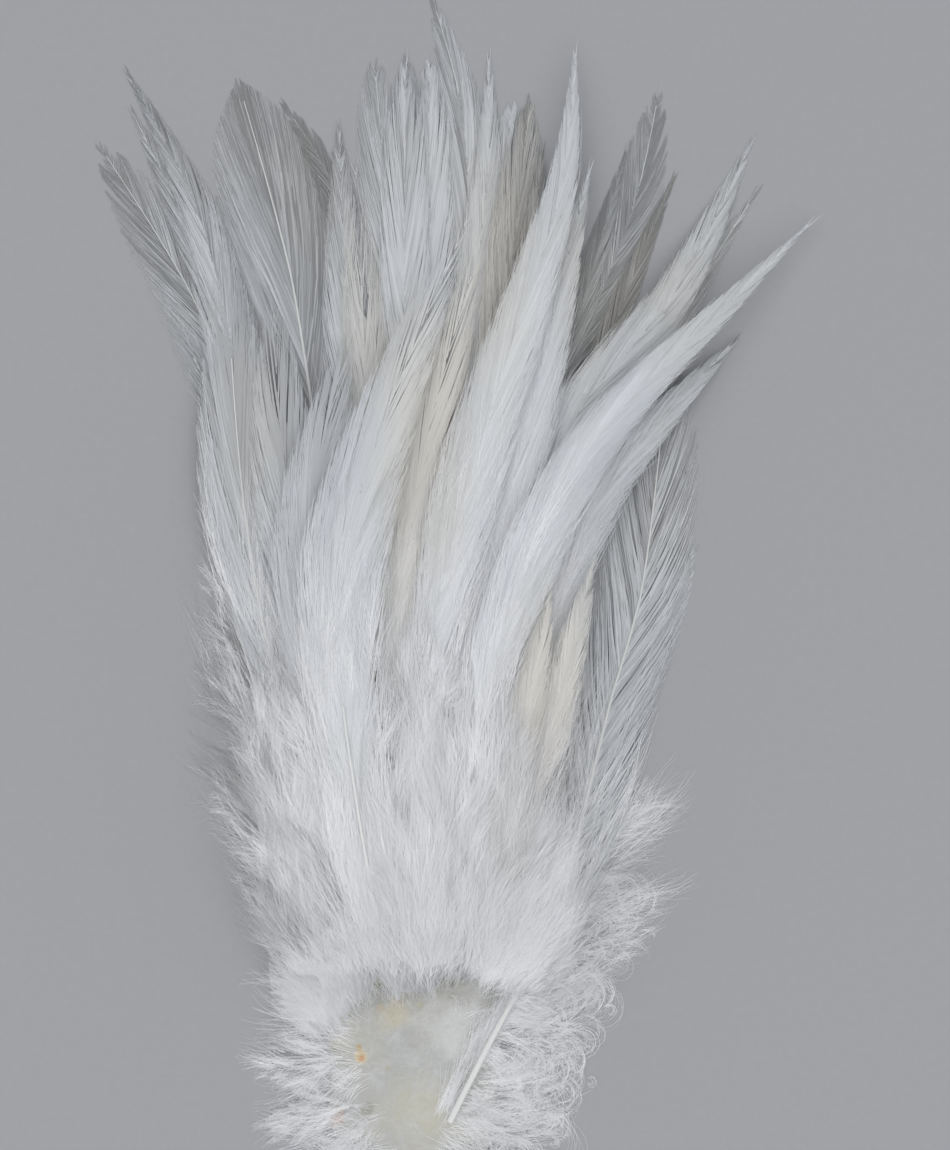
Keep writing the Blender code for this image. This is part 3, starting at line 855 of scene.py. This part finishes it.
# %% Barbs of the vane
Vane = namedtuple("Vane", "spacing thick lean curve clump split lock loft shortest contrast")
CLOSED = Vane(0.25, 0.24, 0.120, 1.35, 0.08, 0.38, 3.0, 0.02, 0.70, 0.10)
SMOOTH = Vane(0.22, 0.24, 0.120, 1.35, 0.05, 0.06, 3.0, 0.02, 0.80, 0.06)
OPEN = Vane(0.24, 0.17, 0.150, 1.30, 0.12, 0.25, 1.8, 0.03, 0.82, 0.07)
LOOSE = Vane(0.25, 0.14, 0.230, 1.25, 0.26, 0.20, 2.6, 0.06, 0.85, 0.08)
BARB_STEPS = 5
VANE_END = 0.975
SPLIT_FROM = 0.72
LOCK_TIP = 0.72
FADE_FROM = 0.35
FADED_SHARE = 0.93
TIP_PAINTED_SHADE = 0.28


def lock_edges(rng, length, size):
    """The edges between locks along one side of a vane."""
    edges = [0.0]
    while edges[-1] < length + 40:
        edges.append(edges[-1] + size * rng.uniform(0.45, 1.9))
    return np.array(edges)


def add_vane(pile, bed, vane, rng, start, tone, melted_painted_shade):
    """Both sides of a vane. Where its feather melts, its barbs are few and fine, in the painted shade given
    last.
    """
    length = bed.length
    fades = float(bed.melts)
    broad = (bed.feather.vane / 5) ** 0.7
    for side in (-1, 1):
        s0 = np.arange(start * length, VANE_END * length, vane.spacing)
        s0 = s0[rng.random(len(s0)) > fades * FADED_SHARE * ease((s0 / length - FADE_FROM) / 0.5)]
        n = len(s0)
        s0 = s0 + rng.uniform(-0.5, 0.5, n) * vane.spacing
        t0 = s0 / length
        lean = vane.lean * (1.5 - 0.7 * t0) * rng.uniform(0.88, 1.12, n)
        reach = bed.width(s0 + 6) / lean
        left = length + 0.3 - s0
        reach = left * (1 - np.exp(-reach / left))
        s1 = s0 + reach
        edges = lock_edges(rng, length, vane.lock)
        k = np.clip(np.searchsorted(edges, s1) - 1, 0, len(edges) - 2)
        low, high = edges[k], edges[k + 1]
        hold = vane.clump + vane.split * ease((s1 / length - SPLIT_FROM) / 0.25)
        pull = (low + (high - low) * LOCK_TIP - s1) * hold
        size = rng.uniform(vane.shortest, 1.05, n) ** 0.7
        lock_lift = rng.uniform(-0.3, 1.0, len(edges))[k] * vane.loft
        lock_shade = rng.uniform(-1, 1, len(edges))[k] * vane.contrast
        t = np.linspace(0, 1, BARB_STEPS + 1)[None, :]
        s = s0[:, None] + reach[:, None] * t + pull[:, None] * t**1.6
        wide = np.minimum(bed.width(s1 + pull) * size, reach * vane.lean * 2.4)
        out = wide[:, None] * (1 - (1 - t) ** vane.curve)
        bow = rng.normal(0, 0.04, n)[:, None] * np.sin(np.pi * t) * bed.width(s0)[:, None]
        u = side * np.maximum(out + bow, 0.02)
        lift = lock_lift[:, None] * t + rng.normal(0, 0.018, n)[:, None] - 0.04
        p = bed.lay(np.minimum(s, length + 0.5), u, lift)
        half = 0.5 * vane.thick * broad * (1 - 0.82 * ease((t - 0.3) / 0.65))
        fine = 1 - 0.3 * ease((t0 - 0.6) / 0.4) - 0.35 * fades * ease((t0 - 0.4) / 0.4)
        half = half * (rng.uniform(0.8, 1.2, n) * fine)[:, None]
        roll = rng.normal(0, 0.09, n)
        # Painted shade: the barbs grow darker towards the feather's tip.
        shade = tone + lock_shade + rng.normal(0, 0.12, n) - TIP_PAINTED_SHADE * ease(2 * t0 - 1)
        # Painted shade: where the feather melts, its barbs darken towards the shade of the feathers below.
        shade = shade + fades * (melted_painted_shade - shade) * ease((t0 - FADE_FROM) / 0.35)
        pile.ribbons(p, half, roll, np.clip(shade, 0, 1), 0.0)


print("barbs to a millimetre of a closed vane:", 1 / CLOSED.spacing)

# %% [markdown]
# ## The down
# Down barbs have no hooks, so nothing holds them in a blade. They hang together in soft tufts instead: a
# dozen barbs share their root, their way and their turn, and draw together towards the tip. Fine hairs along
# both sides of each barb make the haze that real down has at its edge.

# %% Tufts of down
ROOT_LIFT = 0.08
RISEN_AT = 1.8


def add_tufts(
    pile, bed, s0, u0, heading, span, rng, members, rise, foot,
    bend=0.0, gather=0.4, fray=0.10, thick=0.09, hairs=3, hair=0.8, steps=5, limit=1.1, least=0.0, wave=0.12,
    shade=0.6, contrast=0.12, over=1.0, fluff=1.0, rooted=0.0, uneven=0.0,
):
    """Tufts rooted at (s0, u0), each span long, at the angle heading from the rachis and turning by bend.

    Members stand up to foot from the tuft's middle, and gather is the part of that left at the tip. A barb
    that would leave the feather's outline by more than limit, or its tip by more than over, is shorter.
    By as much as the tuft is rooted, its barbs start on what is below the feather and rise onto it.
    """
    n, m = len(s0), members
    t = np.linspace(0, 1, steps + 1)[None, :]

    def each(value, noise=0.0):
        shared = np.broadcast_to(np.asarray(value, float), n)[:, None]
        return (shared + rng.normal(0, 1, (n, m)) * noise).reshape(-1, 1)

    way = each(heading, fray) + each(bend, 0.12) * t**1.3
    way = way + wave * np.sin(each(rng.uniform(0, 6.28, n), 0.5) + 5.0 * t) * t
    middle = 0.5 * (way[:, 1:] + way[:, :-1])
    none = np.zeros((n * m, 1))
    ahead = np.concatenate([none, np.cumsum(np.cos(middle), 1)], 1) / steps
    aside = np.concatenate([none, np.cumsum(np.sin(middle), 1)], 1) / steps
    long = each(span) * rng.uniform(0.45, 1.05, (n * m, 1))
    hold = 1 + (gather - 1) * t
    start_s = each(s0) + each(0.0, foot[0]) * hold
    start_u = each(u0) + each(0.0, foot[1]) * hold
    room = np.maximum(bed.width(start_s + ahead * long) * rng.uniform(0.75, 1, (n * m, 1)) * limit, least)
    spare = (room - np.abs(start_u)) / np.maximum(np.abs(aside * long), 1e-3)
    spare = np.where(aside * start_u > 0, spare, 1)
    past = bed.length + over * rng.uniform(0, 1, (n * m, 1)) - start_s
    past = np.where(ahead > 0, past / np.maximum(ahead * long, 1e-3), 1)
    long = long * np.clip(np.minimum(spare[:, 1:].min(1), past[:, 1:].min(1)), 0.3, 1)[:, None]
    s = start_s + ahead * long
    u = start_u + aside * long
    arch = each(rise * rng.uniform(0.1, 1.0, n), 0.12) * t * (1.7 - 0.7 * t)
    p = bed.lay(s, u, arch + each(uneven * rng.normal(0, 1, n), 0.06) * np.minimum(3 * t, 1))
    share = np.repeat(np.broadcast_to(rooted, n), m)[:, None] * (1 - ease(RISEN_AT * t))
    start_z = bed.below[ground_cell(p[..., 0], p[..., 1])] + ROOT_LIFT
    p[..., 2] += (start_z - p[..., 2]) * share
    half = 0.5 * thick * (1 - 0.72 * t) * np.minimum(0.3 + 4 * t, 1) * rng.uniform(0.75, 1.25, (n * m, 1))
    tone = np.clip(each(shade + contrast * rng.normal(0, 1, n), 0.05), 0, 1)[:, 0]
    first = pile.ribbons(p, half, rng.normal(0, 0.18, n * m), tone, fluff)
    if hairs:
        pile.hairs(p, first, hairs, hair, rng, tone, fluff)


print("tufts ready")

# %% [markdown]
# ## What lies under the strands
# Strands alone leave dark gaps between them, because a real feather has many more. So a soft sheet lies
# just under the surface of a vane or a body feather and stands for its deep layers. It ends inside the
# outline, and its edges dive, so that only the strands make the outline. The slope of down is a sheet too.

# %% Sheets
SLOPE_LANES = 44
SLOPE_ROWS = 20
SLOPE_DEPTH = 0.5
SLOPE_DIVES = 4.0


def add_sheet(pile, bed, rng, start, end, reach, depth, edge=0.8, shade=0.5, fluff=1.0, rows=40, lanes=13):
    """A sheet in the bed, from start to end of the feather's length and over the share reach of its width.

    It is rounded at both ends and lies depth under the surface, and its edge goes down by a further edge.
    """
    t = np.linspace(0, 1, rows)[:, None]
    lane = np.linspace(-1, 1, lanes)[None, :]
    s = (start + (end - start) * t) * bed.length + 0 * lane
    wide = reach * np.sqrt(np.maximum(1 - (2 * t - 1) ** 4, 0.0))
    u = lane * wide * bed.width(s)
    ripple = (0.12 * np.sin(s * 0.9 + 3 * lane + rng.uniform(0, 6)) + rng.normal(0, 0.03, s.shape)) * fluff
    deep = depth + edge * lane**4 + 0.3 * t**2
    pile.sheet(bed.lay(s, u, ripple - deep), shade, fluff)


def add_slope(pile, rng):
    """The slope of down as one soft surface, with an uneven foot and an upper edge that dives."""
    x = np.broadcast_to(np.linspace(*SLOPE_X, SLOPE_LANES), (SLOPE_ROWS, SLOPE_LANES))
    foot = root_line(x) - 0.2 + 0.3 * np.sin(2.1 * x) + 0.3 * np.sin(5.3 * x)
    y = foot + (SLOPE_END + 2 - foot) * np.linspace(0, 1, SLOPE_ROWS)[:, None]
    dive = SLOPE_DIVES * ease((y - SLOPE_END + 2) / 4)
    z = down_slope(x, y) - SLOPE_DEPTH - dive + rng.normal(0, 0.08, x.shape)
    pile.sheet(np.stack([x, y, np.maximum(z, LOWEST)], -1), 0.55, 1.0)


print("sheets ready")

# %% [markdown]
# ## The surface of down
# Over the deep layers go fine tufts that turn in swirls, like hair on a head. Near the skin they are rooted
# on the slope, and none of them starts on the bare skin.

# %% Fluff
SWIRL = 0.5
ROOTED_UP_TO = 27
ROOTED_FADES = 7


def off_the_skin(bed, s, u):
    """Roots that would stand on the bare skin move along the feather, up to the line of the fluff."""
    x, y = bed.spot(s, u)
    return s + np.maximum(root_line(x) - 0.9 - y, 0)


def add_fluff(pile, bed, rng, n, low, high, shade=0.6):
    """Fine tufts all over a feather, from low to high in shares of its length. Neighbours turn alike."""
    s0 = rng.uniform(low, high, n) * bed.length
    lane = rng.uniform(-0.95, 0.95, n)
    u0 = lane * bed.width(s0)
    if bed.feather.slot != DOWN:
        s0 = off_the_skin(bed, s0, u0)
    y0 = bed.spot(s0, u0)[1]
    swirl = SWIRL * np.sin(s0 / 5 + rng.uniform(0, 6)) * np.cos(u0 / 3 + rng.uniform(0, 6))
    heading = lane * rng.uniform(0.1, 0.6, n) + swirl + rng.normal(0, 0.18, n)
    add_tufts(
        pile, bed, s0, u0, heading, rng.uniform(8, 20, n), rng,
        members=14, bend=-0.4 * heading, rise=0.35, foot=(1.3, 0.6), gather=0.4, fray=0.12, thick=0.065,
        hair=0.6, steps=4, limit=1.9, over=11.0, wave=0.35, shade=shade, contrast=0.2, uneven=0.15,
        rooted=ease((ROOTED_UP_TO - y0) / ROOTED_FADES),
    )


print("fluff ready")

# %% [markdown]
# ## Dressing the feathers
# Every long feather gets a shaft, a vane, its down and, unless the vane is loose, deep layers, in this order.
# What differs is how open its vane is, how bright it is and how much of it can be seen. Then its piece takes
# the place of its solid.

# %% Kinds of feather
VANES = {
    SMOOTH: ("left_broad", "left_shaft", "left_narrow"),
    OPEN: (
        "left_inner", "left_spear", "right_shade", "centre_round", "centre_far_left", "right_low",
        "cream_right", "left_fringe", "right_warm",
    ),
    LOOSE: ("left_outer", "right_open", "back_sparse", "right_broad"),
}
CLEAR_SHAFTS = {"left_broad": 1.05, "left_outer": 0.7, "right_broad": 1.15, "left_shaft": 0.8}
USUAL_TONE = 0.55
# Each feather's brightness is partly its own tone and partly painted: painted shade darkens the feathers that
# lie low, at the back or out at the sides, and painted light brightens the front ones and middle, which lies
# in shade.
TONES_AND_PAINTED_SHADE = {
    "back_sparse": 0.1, "left_broad": 0.15, "right_warm": 0.2, "right_open": 0.25, "right_shade": 0.25,
    "left_outer": 0.25, "left_inner": 0.35, "left_spear": 0.35, "left_shaft": 0.35, "left_fringe": 0.35,
    "back_tallest": 0.35, "right_broad": 0.35, "centre_edge": 0.35, "left_narrow": 0.4, "centre_round": 0.4,
    "centre_far_left": 0.4, "centre_cream": 0.4, "right_thin": 0.42, "centre_left": 0.5, "front_band": 0.62,
    "front_left": 0.64, "front_right": 0.66, "front_tall": 0.68, "cream_left": 0.7, "cream_right": 0.7,
    "middle": 0.75,
}
# Painted shade: the melting tips of these feathers darken to this, like the darker feathers under them.
MELTED_PAINTED_SHADES = {"left_narrow": 0.24, "left_shaft": 0.22, "front_shade": 0.3, "left_fringe": 0.25}

Show = namedtuple("Show", "vane_start down_share down_spacing down_hairs")
SEEN = Show(0.24, 0.5, 0.9, 2)
BURIED = Show(0.4, 0.4, 2.5, 0)
ON_TOP_FROM = [feather.name for feather in FEATHERS].index("feather_left_spear")
WELL_SEEN = {feather.name for feather in FEATHERS[ON_TOP_FROM:]}
WELL_SEEN |= {"feather_right_broad", "feather_right_low"}
DOWNY = {"gather": 0.15, "hairs": 4}
count = 0


def each_feather(kind, first_seed):
    """Every feather of one kind: its short name, its bed, an empty pile and random numbers of its own."""
    for number, feather in enumerate(FEATHERS):
        if feather.name.startswith(kind):
            rng = np.random.default_rng(first_seed + number)
            yield feather.name.replace(kind, ""), beds[feather.name], Pile(), rng


def dress(feather, name, pile):
    """Makes the piece of one pile, in place of its feather's solid."""
    thing = pile.make(name, finishes[feather.slot])
    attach(thing, "root")
    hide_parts(feather.name)
    return triangles(thing)


print("feathers that show most of their vane or down:", len(WELL_SEEN))

# %% Long feathers
CURLING_TUFTS = 30
FLAT_TUFTS = 34
FRONT_FLUFF = 100


def scattered(rng, low, high, spacing):
    """Places from low to high, about evenly spaced."""
    s = np.arange(low, high, spacing)
    return s + rng.uniform(-1, 1, len(s)) * spacing


def hackle_down(pile, bed, rng, share, spacing, hairs):
    """The loose lower barbs of a long feather, spread over its whole width."""
    s0 = scattered(rng, bed.feather.bare, share * bed.length, spacing)
    n = len(s0)
    lane = rng.uniform(-0.8, 0.8, n)
    heading = lane * rng.uniform(0.05, 0.4, n) + rng.normal(0, 0.06, n)
    add_tufts(
        pile, bed, s0, lane * bed.width(s0), heading, rng.uniform(12, 24, n), rng,
        members=10, bend=-0.5 * heading, rise=0.2, foot=(1.2, 0.6), gather=0.85, hairs=hairs, hair=0.6,
        limit=1.2, wave=0.08,
    )


def add_silk(pile, bed, rng, tone):
    """Long free barbs that lie along the blade and a little beyond its edge."""
    for side in (-1, 1):
        s0 = scattered(rng, 0.32 * bed.length, 0.8 * bed.length, 2.2)
        n = len(s0)
        heading = side * rng.uniform(0.07, 0.17, n)
        u0 = side * rng.uniform(0.2, 0.7, n) * bed.width(s0)
        add_tufts(
            pile, bed, s0, u0, heading, rng.uniform(16, 28, n), rng,
            members=5, bend=-0.5 * heading, rise=0.25, foot=(1.2, 0.3), gather=0.8, fray=0.03, hairs=0,
            limit=1.35, wave=0.03, shade=tone, fluff=0.0,
        )


def add_base_of_broad(pile, bed, rng):
    """The quill of right_broad lies bare on the skin, with curls to its right and flat down to its left."""
    n = CURLING_TUFTS
    add_tufts(
        pile, bed, rng.uniform(0.5, 24, n), np.full(n, 0.3), rng.uniform(0.9, 1.8, n),
        rng.uniform(7, 13, n), rng,
        members=14, bend=rng.normal(0.5, 0.8, n), rise=1.1, foot=(0.9, 0.2), thick=0.07, steps=6, least=14.0,
        wave=0.35, **DOWNY,
    )
    n = FLAT_TUFTS
    add_tufts(
        pile, bed, rng.uniform(0, 19, n), rng.uniform(-2.4, -0.4, n), rng.uniform(-0.2, 0.08, n),
        rng.uniform(6, 11, n), rng,
        members=11, rise=0.1, foot=(0.8, 0.4), gather=0.6, thick=0.075, hairs=2, least=6.0, rooted=1.0,
    )


for short, bed, pile, rng in each_feather("feather_", 100):
    vane = next((kind for kind, names in VANES.items() if short in names), CLOSED)
    show = SEEN if bed.feather.name in WELL_SEEN else BURIED
    thick = CLEAR_SHAFTS.get(short)
    tone = TONES_AND_PAINTED_SHADE.get(short, USUAL_TONE)
    add_shaft(pile, bed, -0.25 if thick else 0.14, thick or 0.75, end=0.78 if bed.melts else SHAFT_END)
    if short == "front_left":
        add_shaft(pile, bed, -0.75, 0.65, start=0.17, end=0.36)
    add_vane(pile, bed, vane, rng, show.vane_start, tone, MELTED_PAINTED_SHADES.get(short, tone - 0.1))
    hackle_down(pile, bed, rng, show.down_share, show.down_spacing, show.down_hairs)
    if vane is not LOOSE:
        reach = 0.5 if vane is OPEN else 0.66
        add_sheet(pile, bed, rng, 0.26, 0.74 if bed.melts else 0.88, reach, 0.12, 0.3, tone, 0.0, 26, 9)
    if show is SEEN and vane is CLOSED:
        add_silk(pile, bed, rng, tone)
    if short.startswith("front_"):
        add_sheet(pile, bed, rng, 0.08, 0.46, 0.75, 0.4)
    if short == "front_left":
        add_fluff(pile, bed, rng, FRONT_FLUFF, 0.02, 0.42)
    if short == "right_broad":
        add_base_of_broad(pile, bed, rng)
    count += dress(bed.feather, "barbs_" + short, pile)
print("long feathers dressed, triangles:", count)

# %% [markdown]
# ## The fluffy body feathers
# The front of the base is one bright mass of down. In a real feather the down lies in layers so dense that no
# light gets lost between them, so a sheet lies inside each feather, under fine tufts. At the left the down is
# thin: there is no sheet, and a few bright tufts lie over darker ones, which carry a painted shade. The tufts
# of the front feather are rooted along the uneven edge of the bare skin and on the slope above it.

# %% Body feathers
BODY_TUFTS = 190
# Painted shade: the thin down at the left is darker, with a few brighter tufts over it.
THIN_TUFTS, THIN_PAINTED_SHADE = 90, 0.25
BRIGHT_TUFTS, BRIGHT_SHADE = 36, 0.8
THIN_DOWN = ("left_near", "left_far")
FLUFF_REACH = {"right_far": 0.4, "right": 0.72}
ROOT_TUFTS = 380
LEFT_TUFTS = 80
LEFT_X = (-16.0, -8.0)
ROOTS_REACH = 9


def add_roots(pile, bed, rng):
    """Tufts rooted along the edge of the bare skin, most of them close to it, more at the left."""
    n = ROOT_TUFTS
    x = rng.uniform(ROOT_LINE_X[0] - 2.0, ROOT_LINE_X[-1] + 2.5, n)
    x[:LEFT_TUFTS] = rng.uniform(*LEFT_X, LEFT_TUFTS)
    y = root_line(x) + rng.normal(-0.9, 0.8, n)
    y = y + ROOTS_REACH * rng.uniform(0, 1, n) ** 1.8
    (x0, y0), (ahead_x, ahead_y) = bed.path[0], bed.tangent[0]
    s0 = (x - x0) * ahead_x + (y - y0) * ahead_y
    u0 = (x - x0) * ahead_y - (y - y0) * ahead_x
    add_tufts(
        pile, bed, s0, u0, 0.045 * (u0 + 3) + rng.normal(0, 0.26, n), rng.uniform(6, 16, n), rng,
        members=13, rise=0.5, foot=(0.9, 0.6), gather=0.7, fray=0.18, thick=0.07, hair=0.6, least=26.0,
        wave=0.35, rooted=1.0,
    )


for short, bed, pile, rng in each_feather("body_", 300):
    add_shaft(pile, bed, 0.3, 0.5, start=0.12)
    if short in THIN_DOWN:
        add_fluff(pile, bed, rng, THIN_TUFTS, 0.0, 0.9, THIN_PAINTED_SHADE)
        add_fluff(pile, bed, rng, BRIGHT_TUFTS, 0.0, 0.85, BRIGHT_SHADE)
    else:
        reach = FLUFF_REACH.get(short, 0.9)
        add_sheet(pile, bed, rng, 0.16, 0.85 * reach, 0.72, 0.45)
        add_fluff(pile, bed, rng, BODY_TUFTS, -0.02, reach)
    if short == "front":
        add_slope(pile, rng)
        add_roots(pile, bed, rng)
    count += dress(bed.feather, "fluff_body_" + short, pile)
print("with body feathers:", count)

# %% [markdown]
# ## The down plumes
# The plumes lie round the base. Each gets tufts at its root, tufts along its sides and, where it is dense, a
# sheet and fluff. The lower ones at the right are curly: their tufts are fewer, and some turn into rings.

# %% Down plumes
DENSE_PLUMES = ("right_high", "right_upper", "left_long", "left_upper", "left_high")
DENSE_TUFTS = 70
CURLY_UP_TO = 32
CURLS = 36
Tufts = namedtuple("Tufts", "at_root by_area more")
FEW = Tufts(17, 0.11, 12)
MANY = Tufts(26, 0.18, 18)

for short, bed, pile, rng in each_feather("down_", 500):
    add_shaft(pile, bed, 0.15, 0.4)
    right = short.startswith("right_")
    curly = right and bed.path[-1][1] < CURLY_UP_TO
    if short in DENSE_PLUMES:
        add_sheet(pile, bed, rng, 0.05, 0.5, 0.6, 0.4)
    tufts = FEW if curly else MANY
    n = tufts.at_root
    u0 = rng.uniform(-6.0, 6.0, n)
    add_tufts(
        pile, bed, rng.uniform(-3.5, 3.5, n), u0, 0.08 * u0 + rng.normal(0, 0.35, n),
        rng.uniform(8, 16, n), rng,
        members=11, bend=rng.normal(0, 0.6, n), rise=0.9, foot=(0.9, 0.5), thick=0.065, hair=0.7, least=8.5,
        wave=0.4, rooted=1.0, **DOWNY,
    )
    n = int(tufts.by_area * bed.length * bed.feather.vane) + tufts.more
    s0 = rng.uniform(0.02, 0.88, n) * bed.length
    lane = rng.uniform(-0.9, 0.9, n)
    heading = lane * rng.uniform(0.2, 0.9, n) + rng.normal(0, 0.2, n)
    add_tufts(
        pile, bed, s0, 0.7 * lane * bed.width(s0), heading, rng.uniform(6, 13, n), rng,
        members=13, bend=lane * rng.normal(0.2, 0.5, n) + rng.normal(0, 0.7, n) * right, rise=1.0,
        foot=(0.7, 0.4), thick=0.06, hair=0.7, limit=1.45, wave=0.3, over=3.5, **DOWNY,
    )
    if short in DENSE_PLUMES:
        # Painted shade: the dense plumes at the left get darker fluff than those at the right.
        add_fluff(pile, bed, rng, DENSE_TUFTS, 0.0, 0.9, 0.6 if right else 0.2)
    if curly:
        n = CURLS
        side = np.where(rng.random(n) < 0.6, 1.0, -1.0)
        add_tufts(
            pile, bed, rng.uniform(0.25, 0.95, n) * bed.length, rng.uniform(-5, 5, n),
            side * rng.uniform(0, 1, n), rng.uniform(8, 15, n), rng,
            members=6, bend=side * rng.uniform(1.5, 5.0, n), rise=1.4, foot=(0.3, 0.15), fray=0.05,
            thick=0.065, hair=0.6, steps=10, limit=1.8, over=3.0, **DOWNY,
        )
    count += dress(bed.feather, "plume_" + short, pile)
print("with plumes:", count)

# %% [markdown]
# ## The skin
# The skin is dried and hard, cream where it is thick, with pores, small folds and ochre stains where quills
# were pulled. It is modelled on the CAD solid's own top, so the quills still stand on it. A spot is given by
# its place, its radius, how soft its edge is, its colour and its strength. The last spot is a painted sheen:
# it makes the skin paler to the left of the quill.

# %% Skin mesh
SKIN_OUTLINE = [
    (9.5, -16.2), (12.6, -12.5), (13.2, -7.0), (14.2, 0.0), (14.8, 8.0), (15.8, 17.0), (16.4, 27.0),
    (17.2, 38.0), (17.4, 48.0), (15.6, 56.0), (10.6, 61.2), (4.0, 63.0), (-3.0, 63.2), (-9.6, 61.4),
    (-14.6, 56.6), (-16.6, 48.0), (-16.2, 37.0), (-15.4, 26.0), (-14.6, 16.0), (-13.6, 8.0),
    (-12.8, 1.0), (-13.4, -5.0), (-12.2, -11.0), (-9.2, -15.4), (-4.0, -16.9), (2.8, -16.6),
]
SKIN_CENTRE = np.array((-1.0, 4.0))
SKIN_RINGS = 56
SKIN_TURNS = 180
SKIN_BASE, SKIN_LEAST = 0.02, 0.06
SKIN_INSET, SKIN_SINKS = 0.995, 0.05
RIM_HEIGHT = 0.4
FOLDS, PORES = 0.22, 0.1
SPOTS = [
    (-8.0, 3.0, 1.15, 0.5, (200, 184, 150), 0.8),
    (-7.9, 2.8, 0.55, 0.4, (186, 140, 106), 0.85),
    (-8.4, 4.4, 0.5, 0.4, (186, 160, 115), 0.7),
    (-5.2, 15.2, 0.95, 0.35, (160, 152, 118), 0.85),
    (-5.2, 15.2, 0.4, 0.3, (206, 203, 192), 0.9),
    (6.8, 14.6, 0.4, 0.3, (112, 110, 102), 0.9),
    (-12.2, -6.8, 1.3, 0.8, (176, 130, 100), 0.7),
    (-7.0, -5.6, 0.9, 0.7, (140, 140, 130), 0.7),
    (-3.6, 1.2, 0.4, 0.3, (176, 168, 146), 0.6),
    (-3.2, 10.2, 2.6, 2.2, (192, 184, 160), 0.55),
    (-4.8, 11.0, 0.6, 0.5, (196, 176, 144), 0.4),
    (-2.6, 12.2, 0.5, 0.5, (196, 180, 140), 0.5),
    (1.6, 11.4, 0.5, 0.4, (190, 182, 158), 0.5),
    (2.5, -5.0, 4.5, 3.5, (186, 183, 168), 0.4),
    # Painted sheen: the skin left of the quill is paler.
    (7.5, 8.0, 4.5, 6.0, (197, 198, 197), 0.8),
]
SPOT_HEIGHT = 0.16


def spot_relief(x, y):
    """A small raised rim with a pit in it, round each small spot."""
    height = 0.0
    for spot_x, spot_y, radius, *_ in SPOTS:
        far = math.hypot(x - spot_x, y - spot_y) / radius
        if radius < 1.0 and far < 2:
            rim = math.exp(-(((far - 1.0) / 0.35) ** 2))
            height += SPOT_HEIGHT * (rim - 0.8 * math.exp(-((far / 0.5) ** 2)))
    return height


def skin_mesh():
    """Rings from the rim to the middle, at the height of the solid's top, and a flat underside."""
    outline = np.array(SKIN_OUTLINE + SKIN_OUTLINE[:1])
    walk = np.concatenate([[0], np.cumsum(np.linalg.norm(np.diff(outline, axis=0), axis=1))])
    at = np.linspace(0, walk[-1], SKIN_TURNS, endpoint=False)
    rim = np.stack([np.interp(at, walk, outline[:, k]) for k in (0, 1)], 1)
    points = [(x, y, SKIN_BASE) for x, y in rim]
    faces = []
    for ring in range(SKIN_RINGS):
        share = SKIN_INSET * (1 - ring / SKIN_RINGS)
        for x, y in SKIN_CENTRE + (rim - SKIN_CENTRE) * share:
            top = solid_top(skin_tree, x, y) or RIM_HEIGHT
            fold = FOLDS * noise.noise(Vector((x * 0.35, y * 0.28, 1.0)))
            pore = PORES * noise.noise(Vector((x * 1.9, y * 1.9, 4.0)))
            points.append((x, y, max(top - SKIN_SINKS + fold + pore + spot_relief(x, y), SKIN_LEAST)))
    for ring in range(SKIN_RINGS):
        low, high = ring * SKIN_TURNS, (ring + 1) * SKIN_TURNS
        for a in range(SKIN_TURNS):
            b = (a + 1) % SKIN_TURNS
            faces.append((low + a, low + b, high + b, high + a))
    faces.append([SKIN_RINGS * SKIN_TURNS + a for a in range(SKIN_TURNS)])
    faces.append(list(reversed(range(SKIN_TURNS))))
    mesh = bpy.data.meshes.new("skin")
    mesh.from_pydata([(x * MM, y * MM, z * MM) for x, y, z in points], [], faces)
    mesh.polygons.foreach_set("use_smooth", [True] * len(mesh.polygons))
    return mesh


skin = new_object("skin", skin_mesh())
print("skin triangles:", triangles(skin))

# %% Skin finish
SKIN_GREY = rgb(168, 169, 167)
SKIN_CREAM = rgb(174, 172, 162)
SKIN_PALE = rgb(186, 187, 186)
SKIN_DUST = rgb(170, 166, 150)

hide = Finish("dried_skin")
flat = hide.vector("MULTIPLY", hide.place(), (1, 1, 0))
fine = hide.cloud(420, 5, 0.68)
broad = hide.cloud(70, 2, 0.5)
speckle = hide.cloud(1500, 2, 0.6)
patches = hide.cloud(230, 3, 0.6)
flesh = hide.blend(SKIN_GREY, SKIN_CREAM, ((broad - 0.42) * 4).clipped())
flesh = hide.blend(flesh, SKIN_PALE, ((fine - 0.45) * 3).clipped())
flesh = hide.blend(flesh, SKIN_DUST, ((speckle - 0.62) * 6).clipped() * 0.5)
for x, y, radius, soft, colour, strength in SPOTS:
    gone = hide.vector("DISTANCE", flat, (x * MM, y * MM, 0), out=1) * (1 / (soft * MM))
    uneven = gone + fine * 1.2 + (patches - 0.5) * min(3.0, radius * 1.6)
    inside = (1 + radius / soft + 0.1 - uneven).clipped()
    flesh = hide.blend(flesh, rgb(*colour), inside * strength)
bump = hide.add("ShaderNodeBump", {}, {"Strength": 0.7, "Distance": 0.001, "Height": fine})
sockets = {"Base Color": flesh, "Roughness": 0.6, "Normal": bump, "Specular IOR Level": 0.35}
skin.data.materials.append(hide.show(hide.add("ShaderNodeBsdfPrincipled", {}, sockets)))
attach(skin, "root")
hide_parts("skin_patch")
print("skin finish: spots", len(SPOTS))

# %% [markdown]
# ## Size and end
# The dressed bunch is to keep the size of its CAD model. The last line gives both boxes.

# %% Finish
print("all strands, triangles:", count)
[[list(corner) for corner in box] for box in (cad_box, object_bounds())]
